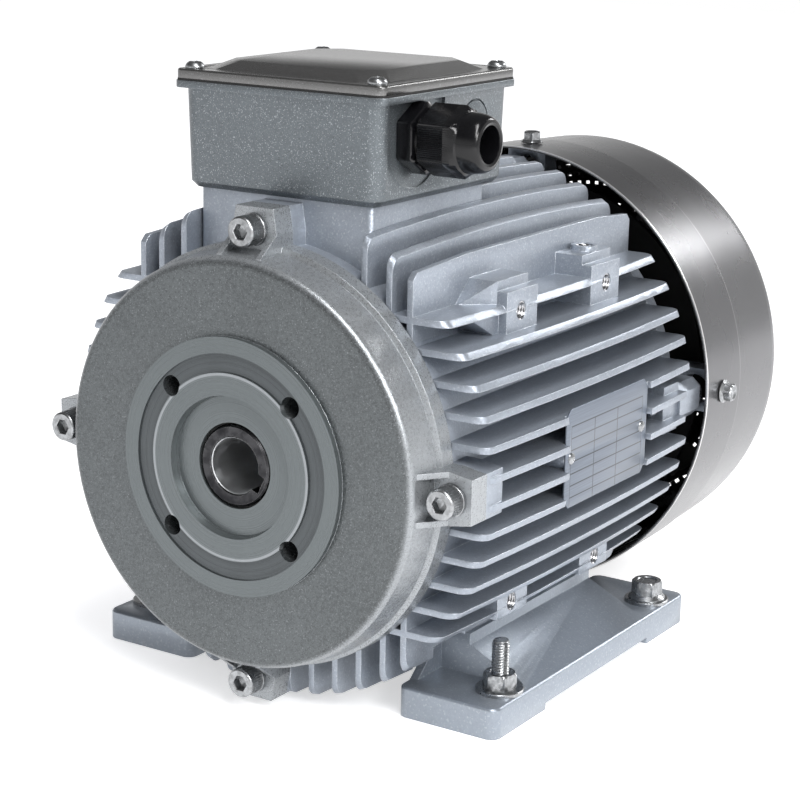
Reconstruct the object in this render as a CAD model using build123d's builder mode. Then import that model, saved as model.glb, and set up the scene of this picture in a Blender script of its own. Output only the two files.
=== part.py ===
from build123d import *
from math import cos, pi, radians, sin
import os

os.makedirs("parts", exist_ok=True)

# Foot-mounted induction motor with a hollow input shaft. The shaft runs along Y with the
# driving end at -Y, the feet stand on Z = 0, and the origin lies between the four foot holes.

# Mounting sizes
SHAFT_H = 112.0
FOOT_HOLES_ACROSS = 190.0
FOOT_HOLES_ALONG = 140.0
FOOT_HOLE_D = 12.0

# Clearances
SEAT_GAP = 0.05
RUN_GAP = 0.3
SCREW_GAP = 0.4
THREAD_GAP = 0.05

# Screws
M8_R = 4.0
M8_HEAD_R = 6.5
M8_HEAD_H = 8.0
M8_KEY_AF = 6.0
M8_WASHER_R = 6.9
M8_WASHER_T = 2.0
M5_R = 2.5
M5_FLANGE_R = 5.6
M5_FLANGE_T = 1.2
M5_HEX_AF = 8.0
M5_HEX_H = 4.2
M4_R = 2.0
M4_HEAD_R = 4.2
M4_HEAD_H = 3.0

# Finned frame
FRAME_FRONT = -107.5
FRAME_REAR = 86.0
BORE_R = 80.0
REGISTER_R = 85.0
REGISTER_L = 6.0
ROOT_R = 91.0
FIN_T = 2.8
FIN_PITCH = 12.2
SIDE_FIN_FIRST = 6.0
SIDE_FINS = 6
TOP_FIN_FIRST = 10.0
TOP_FINS = 5
FIN_REAR = 82.0
TIP_MID_R = 111.5
TIP_END_R = 109.0
TIP_CORNER = 5.5
RIB_SETBACK = 0.5
SHOULDER_FIN_X = 69.0
SHOULDER_FIN_H = 88.6
SHOULDER_END_H = 86.4
SHOULDER_ROOT_H = 57.0
SHOULDER_CORNER = 3.0
SHOULDER_FLAT = (-64.0, 50.0)

# Front end shield
SHIELD_FACE = -133.8
SHIELD_R = 92.3
SHIELD_FACE_R = 88.5
SHIELD_EDGE = 4.0
SHIELD_WALL = 6.0
SHIELD_GROOVE = -116.2
FLANGE_R = 55.6
FLANGE_H = 2.7
TURNED_OUT_R = 48.5
TURNED_IN_R = 40.5
TURNED_D = 0.8
SPIGOT_R = 30.75
SPIGOT_FLOOR_R = 29.75
SPIGOT_D = 4.0
FLANGE_HOLE_R = 4.5
FLANGE_HOLE_D = 12.0
FLANGE_HOLE_PCD = 86.6
FLANGE_HOLES = 4
FLANGE_BOSS_WALL = 4.0
FLANGE_HOLE_FLOOR = 3.0
EYE_R = 18.6
LUG_FRONT = -119.0
LUG_HALF_W = 11.3
LUG_TIP_HALF_W = 9.5
LUG_KNEE_R = 97.0
LUG_R = 107.5
LUG_RIB_T = 2.5
LUG_SCREW_R = 98.3
FRAME_LUG_L = 12.5

# Shaft line
SHAFT_END = -132.6
SHAFT_BORE_R = 12.0
SHAFT_BORE_L = 60.0
KEY_W = 8.0
KEY_D = 3.3
KEY_ANGLE = -25.0
FRONT_JOURNAL_R = 17.5
COLLAR_R = 20.5
CORE_SEAT_R = 22.0
REAR_COLLAR_R = 19.0
REAR_JOURNAL_R = 15.0
FAN_SEAT_R = 13.0
SHAFT_REAR_END = 152.0
FRONT_BEARING_R = 36.0
FRONT_BEARING_W = 17.0
FRONT_BEARING_Y = -120.0
REAR_BEARING_R = 31.0
REAR_BEARING_W = 16.0
REAR_BEARING_Y = 87.0
RACE_T = 5.0
SEAL_R = 26.0
SEAL_W = 8.0
SEAL_Y = -130.5
HUB_WALL = 8.0

# Stator and rotor
CORE_FRONT = -70.0
CORE_REAR = 65.0
STATOR_ID_R = 49.3
ROTOR_R = STATOR_ID_R - RUN_GAP
SLOT_N = 24
WIND_IN_R = 56.0
WIND_OUT_R = 76.0
WIND_FRONT_L = 25.0
WIND_REAR_L = 17.0
CAGE_OUT_R = 47.0
CAGE_IN_R = 31.0
CAGE_L = 11.0

# Rear end shield
REAR_LUG_FRONT = 73.0
REAR_LUG_REAR = 94.0
REAR_LUG_HALF_W = 9.3
REAR_LUG_R = 106.0
FRAME_REAR_LUG_L = 15.0
FRAME_REAR_LUG_R = 104.5
REAR_SCREW_R = 97.5
SHIELD_RIM_W = 8.0
ARM_FRONT = 106.0
ARM_REAR = 118.0
ARM_HALF_W = 10.5
ARM_IN_R = 82.0
ACCESS_R = 7.5
COVER_SCREW_Y = 111.0

# Fan and fan cover
FAN_FRONT = 121.0
FAN_HUB_REAR = 146.0
FAN_HUB_R = 21.0
FAN_TIP_R = 94.0
FAN_PLATE_R = 90.0
FAN_REAR = 166.0
FAN_BLADES = 8
BLADE_T = 2.4
CIRCLIP_T = 1.2
COVER_FRONT = 92.5
COVER_REAR = 186.0
COVER_RIM_R = 110.8
COVER_STEP_Y = 132.65
COVER_STEP = 0.5
COVER_TAIL_R = 107.5
COVER_TAIL_Y = 176.0
COVER_CORNER = 10.0
COVER_T = 1.2
GRILLE_RINGS = 8
GRILLE_FIRST_R = 25.0
GRILLE_PITCH = 9.5
GRILLE_SLOT = 4.5
GRILLE_COUNT = 12
GRILLE_WEB = 4.0

# Neck, terminal box and lid
NECK_HALF_W = 44.2
NECK_FRONT = -98.5
NECK_REAR = -9.0
NECK_TOP = 221.3
NECK_CORNER_R = 3.0
DUCT_W = 56.0
DUCT_L = 56.0
BOX_FOOT = 2.6
BOX_RIM_Z = 263.5
BOX_HALF_W = 50.4
BOX_FRONT = -103.9
BOX_REAR = 1.0
BOX_DRAFT = 2.0
BOX_CORNER_R = 8.0
BOX_WALL = 4.0
BOX_FLOOR = 6.0
RIM_T = 3.0
RIM_HALF_W = 53.5
RIM_FRONT = -105.6
RIM_REAR = 1.5
RIM_CORNER_R = 4.5
GASKET_T = 0.8
GASKET_INSET = 0.5
LID_T = 4.1
LID_CROWN = 3.7
CROWN_BORDER = 8.0
CROWN_SLOPE = 7.5
CROWN_CUT = 9.0
LID_EDGE = 0.6
LID_INSET = 0.6
LID_SKIN = 1.5
LID_SCREW_INSET = 7.2
POST_W = 12.0
BLOCK_PLATE = (74.0, 40.0, 12.0)
BARRIER_H = 8.0
BARRIER_T = 2.5
TERMINAL_PITCH = 24.0
LINK_SIZE = (9.0, 30.0, 2.0)
LINK_NUT_AF = 8.0
LINK_NUT_H = 4.0
LINK_STUD_H = 6.0
LINK_STUDS_APART = 20.0

# Cable gland
GLAND_Y = -74.6
GLAND_Z = 248.0
GLAND_R = 11.8
GLAND_AF = 26.6
GLAND_PAD_R = 21.0
GLAND_PAD_D = 1.5
GLAND_HEX_L = 8.0
GLAND_NECK_L = 1.6
CAP_L = 17.5
CAP_DOME_L = 10.0
CAP_MOUTH_R = 7.6
LOCKNUT_T = 4.0
CAP_CORNER = 1.9
CAP_SHOULDER = 0.6
CAP_ROUND = 2.4
CAP_LIP = 1.6
SEAL_L = 5.4
GLAND_THREAD_L = 9.6
KNOCKOUT_R = 12.0
KNOCKOUT_Y = -29.0
KNOCKOUT_RING = 0.8

# Side bosses, foot pads and feet
BOSS_X = 89.0
BOSS_ROWS = ((-63.5, -38.0), (10.5, 37.0))
BOSS_HOLES_Y = (-51.3, 25.1)
BOSS_HOLE_H = 64.5
BOSS_HOLE_D = 14.0
HOLE_MARGIN = 1.0
PAD_HOLE_L = 14.0
UPPER_BOSS = (54.0, 73.8)
LOWER_BOSS = (-70.0, -54.0)
BLOCK_X = 84.0
BLOCK_H = 78.0
WEDGE_L = 12.5
WEDGE_LOW_H = 67.0
GUSSET_L = 25.0
GUSSET_X = 85.0
EYE_PAD_X = 77.0
EYE_PAD_R = 6.0
EYE_PAD_RISE = 2.3
EYE_PAD_D = 10.5
PAD_IN_X = 56.4
PAD_OUT_X = 73.0
PAD_H = 79.5
PAD_HOLE_X = 66.0
FOOT_OUT_X = 105.9
FOOT_FRONT = -91.5
FOOT_REAR = 90.3
FOOT_T = 13.8
FOOT_CORNER_R = 5.0
FOOT_EDGE = 0.8
SADDLE_X = 75.0
SADDLE_FRONT = -62.0
SADDLE_REAR = 47.5
SADDLE_STEP = 5.0
FOOT_WEB_T = 4.0
FOOT_WEB_L = 20.0
FOOT_RELIEF = 3.0
RELIEF_FRONT = -48.0
RELIEF_REAR = 50.0
PAD_SCREW_L = 12.0
SADDLE_TABLE = 9.0

# Foot fixings
FIXING_WASHER_R = 10.5
FIXING_WASHER_T = 1.7
SPOT_GAP = 0.6
NUT_AF = 13.0
NUT_H = 6.8
STUD_TOP = 37.0
STUD_THREAD_R = 3.8
BOLT_SKIRT_OUT = 2.4
BOLT_SKIRT_H = 1.8
BOLT_HEAD_LIFT = 1.0

# Nameplate
PLATE_X = 107.4
PLATE_T = 0.8
PLATE_Y = -5.0
PLATE_L = 76.0
PLATE_H = 44.0
PLATE_CORNER = 4.0
RIVET_R = 1.6
RIVET_HEAD_R = 2.6
RIVET_HEAD_H = 1.2
RIVET_L = 6.0
RIVET_INSET = 5.0
RIVET_BOSS_R = 5.0

# Derived places
SADDLE_TOP = SHAFT_H - PAD_H
FLANGE_FACE = SHIELD_FACE - FLANGE_H
BOX_MID_Y = (BOX_FRONT + BOX_REAR) / 2
BOX_L = BOX_REAR - BOX_FRONT
RIM_MID_Y = (RIM_FRONT + RIM_REAR) / 2
RIM_L = RIM_REAR - RIM_FRONT
LID_Z = BOX_RIM_Z + RIM_T + GASKET_T
LID_TOP = LID_Z + LID_T
BLOCK_TOP = NECK_TOP + BOX_FLOOR + BLOCK_PLATE[2]
SIDE_FIN_ROWS = [SIDE_FIN_FIRST + i * FIN_PITCH for i in range(SIDE_FINS)]
TOP_FIN_ROWS = [TOP_FIN_FIRST + i * FIN_PITCH for i in range(TOP_FINS)]
STATIONS = {"right": 0, "top": 90, "left": 180, "bottom": 270}
SIDES = {"right": 1, "left": -1}
LID_SCREWS = {
    f"{row}_{side}": (sign * (RIM_HALF_W - LID_SCREW_INSET), y)
    for side, sign in SIDES.items()
    for row, y in (
        ("front", RIM_FRONT + LID_SCREW_INSET - 0.7),
        ("rear", RIM_REAR - LID_SCREW_INSET + 0.7),
    )
}
AXIS_Y = Axis((0, 0, SHAFT_H), (0, 1, 0))


def across(y):
    """Cross-section plane at this y: local x is X, local y is height over the shaft, normal -Y."""
    return Plane(origin=(0, y, SHAFT_H), x_dir=(1, 0, 0), z_dir=(0, -1, 0))


def meridian(angle):
    """Plane through the shaft: local x runs along it, local y outward at this angle from +X."""
    turn = radians(angle)
    return Plane(origin=(0, 0, SHAFT_H), x_dir=(0, 1, 0), z_dir=(sin(turn), 0, -cos(turn)))


def seat(y, r, angle):
    """Plane across the shaft line at this radius and angle, its normal facing the driving end."""
    turn = radians(angle)
    spot = (r * cos(turn), y, SHAFT_H + r * sin(turn))
    return Plane(origin=spot, x_dir=(cos(turn), 0, sin(turn)), z_dir=(0, -1, 0))


def ring(inner, outer, front, rear):
    """Plain ring on the shaft line."""
    with BuildPart() as body:
        with BuildSketch(across(rear)):
            Circle(outer)
            Circle(inner, mode=Mode.SUBTRACT)
        extrude(amount=rear - front)
    return body.part


def cap_screw(face, grip, washer_t=0.0, head_r=M8_HEAD_R, head_h=M8_HEAD_H, r=M8_R):
    """Socket-head screw on its spring washer; the washer lies on the face, the shank below it."""
    with BuildPart() as screw:
        if washer_t:
            with BuildSketch(face):
                Circle(M8_WASHER_R)
            extrude(amount=washer_t)
        with BuildSketch(face.offset(washer_t)):
            Circle(head_r)
        extrude(amount=head_h)
        fillet(screw.edges().group_by(Axis(face.origin, face.z_dir))[-1], radius=0.8)
        with BuildSketch(face.offset(washer_t + head_h)):
            RegularPolygon(radius=M8_KEY_AF / 2, side_count=6, major_radius=False)
        extrude(amount=-head_h / 2, mode=Mode.SUBTRACT)
        with BuildSketch(face):
            Circle(r)
        extrude(amount=-grip)
    return screw.part


def lug_outline(root):
    """Lug that points outward from this radius, narrowing beyond its knee."""
    return Polygon(
        (root, -LUG_HALF_W),
        (LUG_KNEE_R, -LUG_HALF_W),
        (LUG_R, -LUG_TIP_HALF_W),
        (LUG_R, LUG_TIP_HALF_W),
        (LUG_KNEE_R, LUG_HALF_W),
        (root, LUG_HALF_W),
        align=None,
    )


def upper_boss(sign):
    """Section of the upper side boss: a high block against the shoulder fin, a lower one outside."""
    return Polygon(
        (sign * SHOULDER_FIN_X, UPPER_BOSS[0]),
        (sign * SHOULDER_FIN_X, BLOCK_H),
        (sign * BLOCK_X, BLOCK_H),
        (sign * BLOCK_X, UPPER_BOSS[1]),
        (sign * BOSS_X, UPPER_BOSS[1]),
        (sign * BOSS_X, UPPER_BOSS[0]),
        align=None,
    )


def lower_boss(sign):
    """Section of the lower side boss and the foot pad below it."""
    return Polygon(
        (sign * PAD_IN_X, LOWER_BOSS[1]),
        (sign * BOSS_X, LOWER_BOSS[1]),
        (sign * BOSS_X, LOWER_BOSS[0]),
        (sign * PAD_OUT_X, LOWER_BOSS[0]),
        (sign * PAD_OUT_X, -PAD_H),
        (sign * PAD_IN_X, -PAD_H),
        align=None,
    )


# Room that the ribs fill: a crowned drum, cut away round lugs, neck, bosses, feet and nameplate
with BuildPart() as rib_room:
    with BuildSketch(meridian(90)):
        with BuildLine():
            mid_y = (FRAME_FRONT + FIN_REAR) / 2
            front_tip = (FRAME_FRONT + RIB_SETBACK, TIP_END_R - TIP_CORNER)
            rear_tip = (FIN_REAR, TIP_END_R - TIP_CORNER)
            front_arc = RadiusArc(
                front_tip,
                (FRAME_FRONT + RIB_SETBACK + TIP_CORNER, TIP_END_R),
                TIP_CORNER,
            )
            rear_arc = RadiusArc((FIN_REAR - TIP_CORNER, TIP_END_R), rear_tip, TIP_CORNER)
            ThreePointArc(front_arc @ 1, (mid_y, TIP_MID_R), rear_arc @ 0)
            Polyline(
                front_arc @ 0,
                (FRAME_FRONT + RIB_SETBACK, BORE_R + 3),
                (FIN_REAR, BORE_R + 3),
                rear_arc @ 1,
            )
        make_face()
    revolve(axis=AXIS_Y)
    with BuildSketch(across(FRAME_REAR)):
        with PolarLocations(0, 4):
            with Locations((ROOT_R + 10, 0)):
                Rectangle(40, 2 * LUG_HALF_W + 2)
    extrude(amount=FRAME_REAR - REAR_LUG_FRONT, mode=Mode.SUBTRACT)
    with BuildSketch(across(NECK_REAR)):
        with Locations((0, TIP_MID_R)):
            Rectangle(2 * NECK_HALF_W, 80)
    extrude(amount=NECK_REAR - FRAME_FRONT, mode=Mode.SUBTRACT)
    with BuildSketch(Plane.XY.offset(NECK_TOP - 1)):
        with Locations((0, NECK_REAR)):
            Rectangle(2 * BOX_HALF_W, 2 * (BOX_REAR - NECK_REAR + 2))
    extrude(amount=20, mode=Mode.SUBTRACT)
    with BuildSketch(across(SADDLE_REAR + FOOT_WEB_L + 3)):
        for sign in SIDES.values():
            with Locations((sign * (PAD_IN_X + SADDLE_X) / 2, -PAD_H - 20)):
                Rectangle(SADDLE_X - PAD_IN_X + 5, 40)
    extrude(amount=SADDLE_REAR - SADDLE_FRONT + 2 * FOOT_WEB_L + 6, mode=Mode.SUBTRACT)
    with BuildSketch(Plane.YZ.offset(PLATE_X)):
        with Locations((PLATE_Y, SHAFT_H)):
            Rectangle(PLATE_L + 2, PLATE_H + 2)
    extrude(amount=10, mode=Mode.SUBTRACT)
    # Room for the tapped holes in side bosses and foot pads
    for sign in SIDES.values():
        with BuildSketch(Plane.YZ.offset(sign * (BOSS_X + HOLE_MARGIN))):
            for h in (BOSS_HOLE_H, -BOSS_HOLE_H):
                with Locations(*[(y, SHAFT_H + h) for y in BOSS_HOLES_Y]):
                    Circle(M8_R + HOLE_MARGIN)
        extrude(amount=-sign * (BOSS_HOLE_D + 2 * HOLE_MARGIN), mode=Mode.SUBTRACT)
        with BuildSketch(Plane.XY.offset(SADDLE_TOP)):
            with Locations(*[(sign * PAD_HOLE_X, y) for y in BOSS_HOLES_Y]):
                Circle(M8_R + HOLE_MARGIN)
        extrude(amount=PAD_HOLE_L + HOLE_MARGIN, mode=Mode.SUBTRACT)

# Cooling ribs: plates in two directions, trimmed to that room
with BuildPart() as ribs:
    with BuildSketch(across(FRAME_REAR)):
        for row in SIDE_FIN_ROWS:
            with Locations((0, row), (0, -row)):
                Rectangle(2 * TIP_MID_R, FIN_T)
        for row in (*TOP_FIN_ROWS, SHOULDER_FIN_X):
            with Locations((row, 0), (-row, 0)):
                Rectangle(FIN_T, 2 * TIP_MID_R)
        Circle(ROOT_R - 2, mode=Mode.SUBTRACT)
    extrude(amount=FRAME_REAR - FRAME_FRONT - RIB_SETBACK)
    add(rib_room.part, mode=Mode.INTERSECT)
    # The two shoulder fins stand taller than that room over the bosses
    for sign in SIDES.values():
        with BuildSketch(Plane.YZ.offset(sign * SHOULDER_FIN_X)):
            with Locations((0, SHAFT_H)):
                Polygon(
                    (FRAME_FRONT + RIB_SETBACK, SHOULDER_ROOT_H),
                    (FRAME_FRONT + RIB_SETBACK, SHOULDER_END_H - SHOULDER_CORNER),
                    (FRAME_FRONT + RIB_SETBACK + SHOULDER_CORNER, SHOULDER_END_H),
                    (SHOULDER_FLAT[0], SHOULDER_FIN_H),
                    (SHOULDER_FLAT[1], SHOULDER_FIN_H),
                    (FIN_REAR - SHOULDER_CORNER, SHOULDER_END_H),
                    (FIN_REAR, SHOULDER_END_H - SHOULDER_CORNER),
                    (FIN_REAR, SHOULDER_ROOT_H),
                    align=None,
                )
        extrude(amount=FIN_T / 2, both=True)

# Web that runs from the front upper boss forward onto the fin below the shoulder
with BuildPart() as boss_wedge:
    wedge_y = BOSS_ROWS[0][0]
    with BuildSketch(Plane.XY.offset(SHAFT_H + WEDGE_LOW_H)):
        Polygon(
            (SHOULDER_FIN_X, wedge_y),
            (BLOCK_X, wedge_y),
            (SHOULDER_FIN_X + FIN_T / 2, wedge_y - WEDGE_L),
            (SHOULDER_FIN_X, wedge_y - WEDGE_L),
            align=None,
        )
    extrude(amount=BLOCK_H - WEDGE_LOW_H)
    with BuildSketch(Plane.YZ.offset(SHOULDER_FIN_X)):
        with Locations((0, SHAFT_H)):
            Polygon(
                (wedge_y, WEDGE_LOW_H),
                (wedge_y, BLOCK_H),
                (wedge_y - WEDGE_L, WEDGE_LOW_H),
                align=None,
            )
    extrude(amount=BLOCK_X - SHOULDER_FIN_X, mode=Mode.INTERSECT)
    with BuildSketch(Plane.YZ.offset(SHOULDER_FIN_X)):
        with Locations((0, SHAFT_H)):
            Polygon(
                (wedge_y, UPPER_BOSS[0]),
                (wedge_y, WEDGE_LOW_H),
                (wedge_y - GUSSET_L, WEDGE_LOW_H),
                align=None,
            )
    extrude(amount=GUSSET_X - SHOULDER_FIN_X)

# Frame: bored barrel with lugs, bosses, pads and neck, all under the ribs
with BuildPart() as motor_frame:
    with BuildSketch(across(FRAME_REAR)):
        Circle(ROOT_R)
    extrude(amount=FRAME_REAR - FRAME_FRONT)
    with BuildSketch(across(FRAME_FRONT + FRAME_LUG_L)):
        with PolarLocations(0, 4):
            lug_outline(ROOT_R - 4)
    extrude(amount=FRAME_LUG_L)
    with BuildSketch(across(REAR_LUG_FRONT)):
        with PolarLocations(0, 4):
            with Locations(((ROOT_R - 4 + FRAME_REAR_LUG_R) / 2, 0)):
                Rectangle(FRAME_REAR_LUG_R - ROOT_R + 4, 2 * LUG_HALF_W)
    extrude(amount=FRAME_REAR_LUG_L)
    for front, rear in BOSS_ROWS:
        with BuildSketch(across(rear)):
            for sign in SIDES.values():
                upper_boss(sign)
                lower_boss(sign)
        extrude(amount=rear - front)
    add(boss_wedge.part)
    mirror(boss_wedge.part, about=Plane.YZ)
    for sign in SIDES.values():
        with BuildSketch(Plane.XY.offset(SHAFT_H + BLOCK_H)):
            with Locations((sign * EYE_PAD_X, BOSS_HOLES_Y[1])):
                Circle(EYE_PAD_R)
        extrude(amount=EYE_PAD_RISE)
    with BuildSketch(Plane.XY.offset(SHAFT_H + ROOT_R - 25)):
        with Locations((0, (NECK_FRONT + NECK_REAR) / 2)):
            RectangleRounded(2 * NECK_HALF_W, NECK_REAR - NECK_FRONT, NECK_CORNER_R)
    extrude(amount=NECK_TOP - SHAFT_H - ROOT_R + 25)
    with BuildSketch(Plane.YZ.offset(PLATE_X)):
        with Locations((PLATE_Y, SHAFT_H)):
            with GridLocations(PLATE_L - 2 * RIVET_INSET, 1, 2, 1):
                Circle(RIVET_BOSS_R)
    extrude(amount=-(PLATE_X - ROOT_R + 3))
    # Bore with a register at each end, and the cable duct through the neck
    with BuildSketch(across(FRAME_REAR)):
        Circle(BORE_R)
    extrude(amount=FRAME_REAR - FRAME_FRONT, mode=Mode.SUBTRACT)
    for rear in (FRAME_REAR, FRAME_FRONT + REGISTER_L):
        with BuildSketch(across(rear)):
            Circle(REGISTER_R)
        extrude(amount=REGISTER_L, mode=Mode.SUBTRACT)
    with BuildSketch(Plane.XY.offset(SHAFT_H + 40)):
        with Locations((0, BOX_MID_Y)):
            Rectangle(DUCT_W, DUCT_L)
    extrude(amount=NECK_TOP - SHAFT_H - 40, mode=Mode.SUBTRACT)
    # Tapped holes: shield lugs, side bosses, foot pads; plain holes for the rivets
    with Locations(across(FRAME_FRONT)):
        with PolarLocations(LUG_SCREW_R, 4):
            Hole(M8_R + THREAD_GAP, depth=FRAME_LUG_L)
    with Locations(across(REAR_LUG_FRONT - FRAME_REAR_LUG_L)):
        with PolarLocations(REAR_SCREW_R, 4):
            Hole(M8_R + THREAD_GAP, depth=FRAME_REAR_LUG_L)
    for sign in SIDES.values():
        wall = Plane(origin=(sign * BOSS_X, 0, SHAFT_H), x_dir=(0, 1, 0), z_dir=(sign, 0, 0))
        with Locations(wall):
            with Locations(*[(y, h) for y in BOSS_HOLES_Y for h in (BOSS_HOLE_H, -BOSS_HOLE_H)]):
                Hole(M8_R + THREAD_GAP, depth=BOSS_HOLE_D)
        with Locations(Plane.XY.offset(SHAFT_H + BLOCK_H + EYE_PAD_RISE)):
            with Locations((sign * EYE_PAD_X, BOSS_HOLES_Y[1])):
                Hole(M8_R + THREAD_GAP, depth=EYE_PAD_D)
        with Locations(Plane(origin=(0, 0, SADDLE_TOP), x_dir=(1, 0, 0), z_dir=(0, 0, -1))):
            with Locations(*[(sign * PAD_HOLE_X, -y) for y in BOSS_HOLES_Y]):
                Hole(M8_R + THREAD_GAP, depth=PAD_HOLE_L)
    with Locations(Plane.YZ.offset(PLATE_X)):
        with Locations((PLATE_Y, SHAFT_H)):
            with GridLocations(PLATE_L - 2 * RIVET_INSET, 1, 2, 1):
                Hole(RIVET_R + THREAD_GAP, depth=RIVET_L + 2)
    add(ribs.part)
motor_frame.part.label = "motor_frame"
export_step(motor_frame.part, "parts/motor_frame.step")

# Front end shield: turned profile, four ribbed lugs, machined flange with blind holes
with BuildPart() as front_end_shield:
    with BuildSketch(meridian(90)):
        with BuildLine():
            Polyline(
                (SHIELD_FACE + SPIGOT_D - FLANGE_H, EYE_R),
                (SHIELD_FACE + SPIGOT_D - FLANGE_H, SPIGOT_FLOOR_R),
                (FLANGE_FACE, SPIGOT_R),
                (FLANGE_FACE, TURNED_IN_R),
                (FLANGE_FACE + TURNED_D, TURNED_IN_R),
                (FLANGE_FACE + TURNED_D, TURNED_OUT_R),
                (FLANGE_FACE, TURNED_OUT_R),
                (FLANGE_FACE, FLANGE_R),
                (SHIELD_FACE, FLANGE_R),
                (SHIELD_FACE, SHIELD_FACE_R - SHIELD_EDGE),
            )
            RadiusArc(
                (SHIELD_FACE, SHIELD_FACE_R - SHIELD_EDGE),
                (SHIELD_FACE + SHIELD_EDGE, SHIELD_FACE_R),
                SHIELD_EDGE,
            )
            Polyline(
                (SHIELD_FACE + SHIELD_EDGE, SHIELD_FACE_R),
                (SHIELD_GROOVE - 1.2, SHIELD_FACE_R + 1.7),
                (SHIELD_GROOVE, SHIELD_FACE_R + 0.9),
                (SHIELD_GROOVE + 1.2, SHIELD_R - 0.4),
                (FRAME_FRONT, SHIELD_R),
                (FRAME_FRONT, REGISTER_R - SEAT_GAP),
                (FRAME_FRONT + REGISTER_L - RUN_GAP, REGISTER_R - SEAT_GAP),
                (FRAME_FRONT + REGISTER_L - RUN_GAP, REGISTER_R - SHIELD_WALL),
                (SHIELD_FACE + SHIELD_WALL + 6, REGISTER_R - SHIELD_WALL),
                (SHIELD_FACE + SHIELD_WALL, REGISTER_R - SHIELD_WALL - 6),
                (SHIELD_FACE + SHIELD_WALL, FRONT_BEARING_R + 2 * HUB_WALL),
                (FRONT_BEARING_Y, FRONT_BEARING_R + HUB_WALL),
                (FRONT_BEARING_Y + FRONT_BEARING_W, FRONT_BEARING_R + HUB_WALL),
                (FRONT_BEARING_Y + FRONT_BEARING_W, FRONT_BEARING_R),
                (FRONT_BEARING_Y, FRONT_BEARING_R),
                (FRONT_BEARING_Y, FRONT_BEARING_R - 3),
                (SEAL_Y + SEAL_W, SEAL_R + 2),
                (SEAL_Y + SEAL_W, SEAL_R),
                (SEAL_Y, SEAL_R),
                (SEAL_Y, EYE_R),
                (SHIELD_FACE + SPIGOT_D - FLANGE_H, EYE_R),
            )
        make_face()
    revolve(axis=AXIS_Y)
    with BuildSketch(across(FRAME_FRONT)):
        with PolarLocations(0, 4):
            Polygon(
                (ROOT_R - 8, -LUG_HALF_W),
                (LUG_KNEE_R, -LUG_HALF_W),
                (LUG_R, -LUG_TIP_HALF_W),
                (LUG_R, LUG_TIP_HALF_W),
                (LUG_KNEE_R, LUG_HALF_W),
                (ROOT_R - 8, LUG_HALF_W),
                align=None,
            )
    extrude(amount=FRAME_FRONT - LUG_FRONT)
    for angle in STATIONS.values():
        for side in (-1, 1):
            with BuildSketch(meridian(angle).offset(side * (LUG_HALF_W - LUG_RIB_T / 2))):
                Polygon(
                    (SHIELD_FACE + SHIELD_EDGE, SHIELD_FACE_R - 2),
                    (SHIELD_FACE + SHIELD_EDGE, SHIELD_FACE_R),
                    (LUG_FRONT + 0.5, LUG_KNEE_R),
                    (LUG_FRONT + 0.5, SHIELD_FACE_R - 2),
                    align=None,
                )
            extrude(amount=LUG_RIB_T / 2, both=True)
    with Locations(across(LUG_FRONT)):
        with PolarLocations(LUG_SCREW_R, 4):
            Hole(M8_R + SCREW_GAP, depth=FRAME_FRONT - LUG_FRONT)
    with Locations(across(FLANGE_FACE + TURNED_D)):
        with PolarLocations(FLANGE_HOLE_PCD / 2, FLANGE_HOLES, 45):
            Hole(FLANGE_HOLE_R, depth=FLANGE_HOLE_D)
    # Bosses behind the blind flange holes
    with BuildSketch(across(FLANGE_FACE + TURNED_D + FLANGE_HOLE_D + FLANGE_HOLE_FLOOR)):
        with PolarLocations(FLANGE_HOLE_PCD / 2, FLANGE_HOLES, 45):
            Circle(FLANGE_HOLE_R + FLANGE_BOSS_WALL)
            Circle(FLANGE_HOLE_R, mode=Mode.SUBTRACT)
    extrude(amount=FLANGE_HOLE_D + 2)
    with BuildSketch(across(FLANGE_FACE + TURNED_D + FLANGE_HOLE_D + FLANGE_HOLE_FLOOR)):
        with PolarLocations(FLANGE_HOLE_PCD / 2, FLANGE_HOLES, 45):
            Circle(FLANGE_HOLE_R)
    extrude(amount=FLANGE_HOLE_FLOOR)
front_end_shield.part.label = "front_end_shield"
export_step(front_end_shield.part, "parts/front_end_shield.step")

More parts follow.
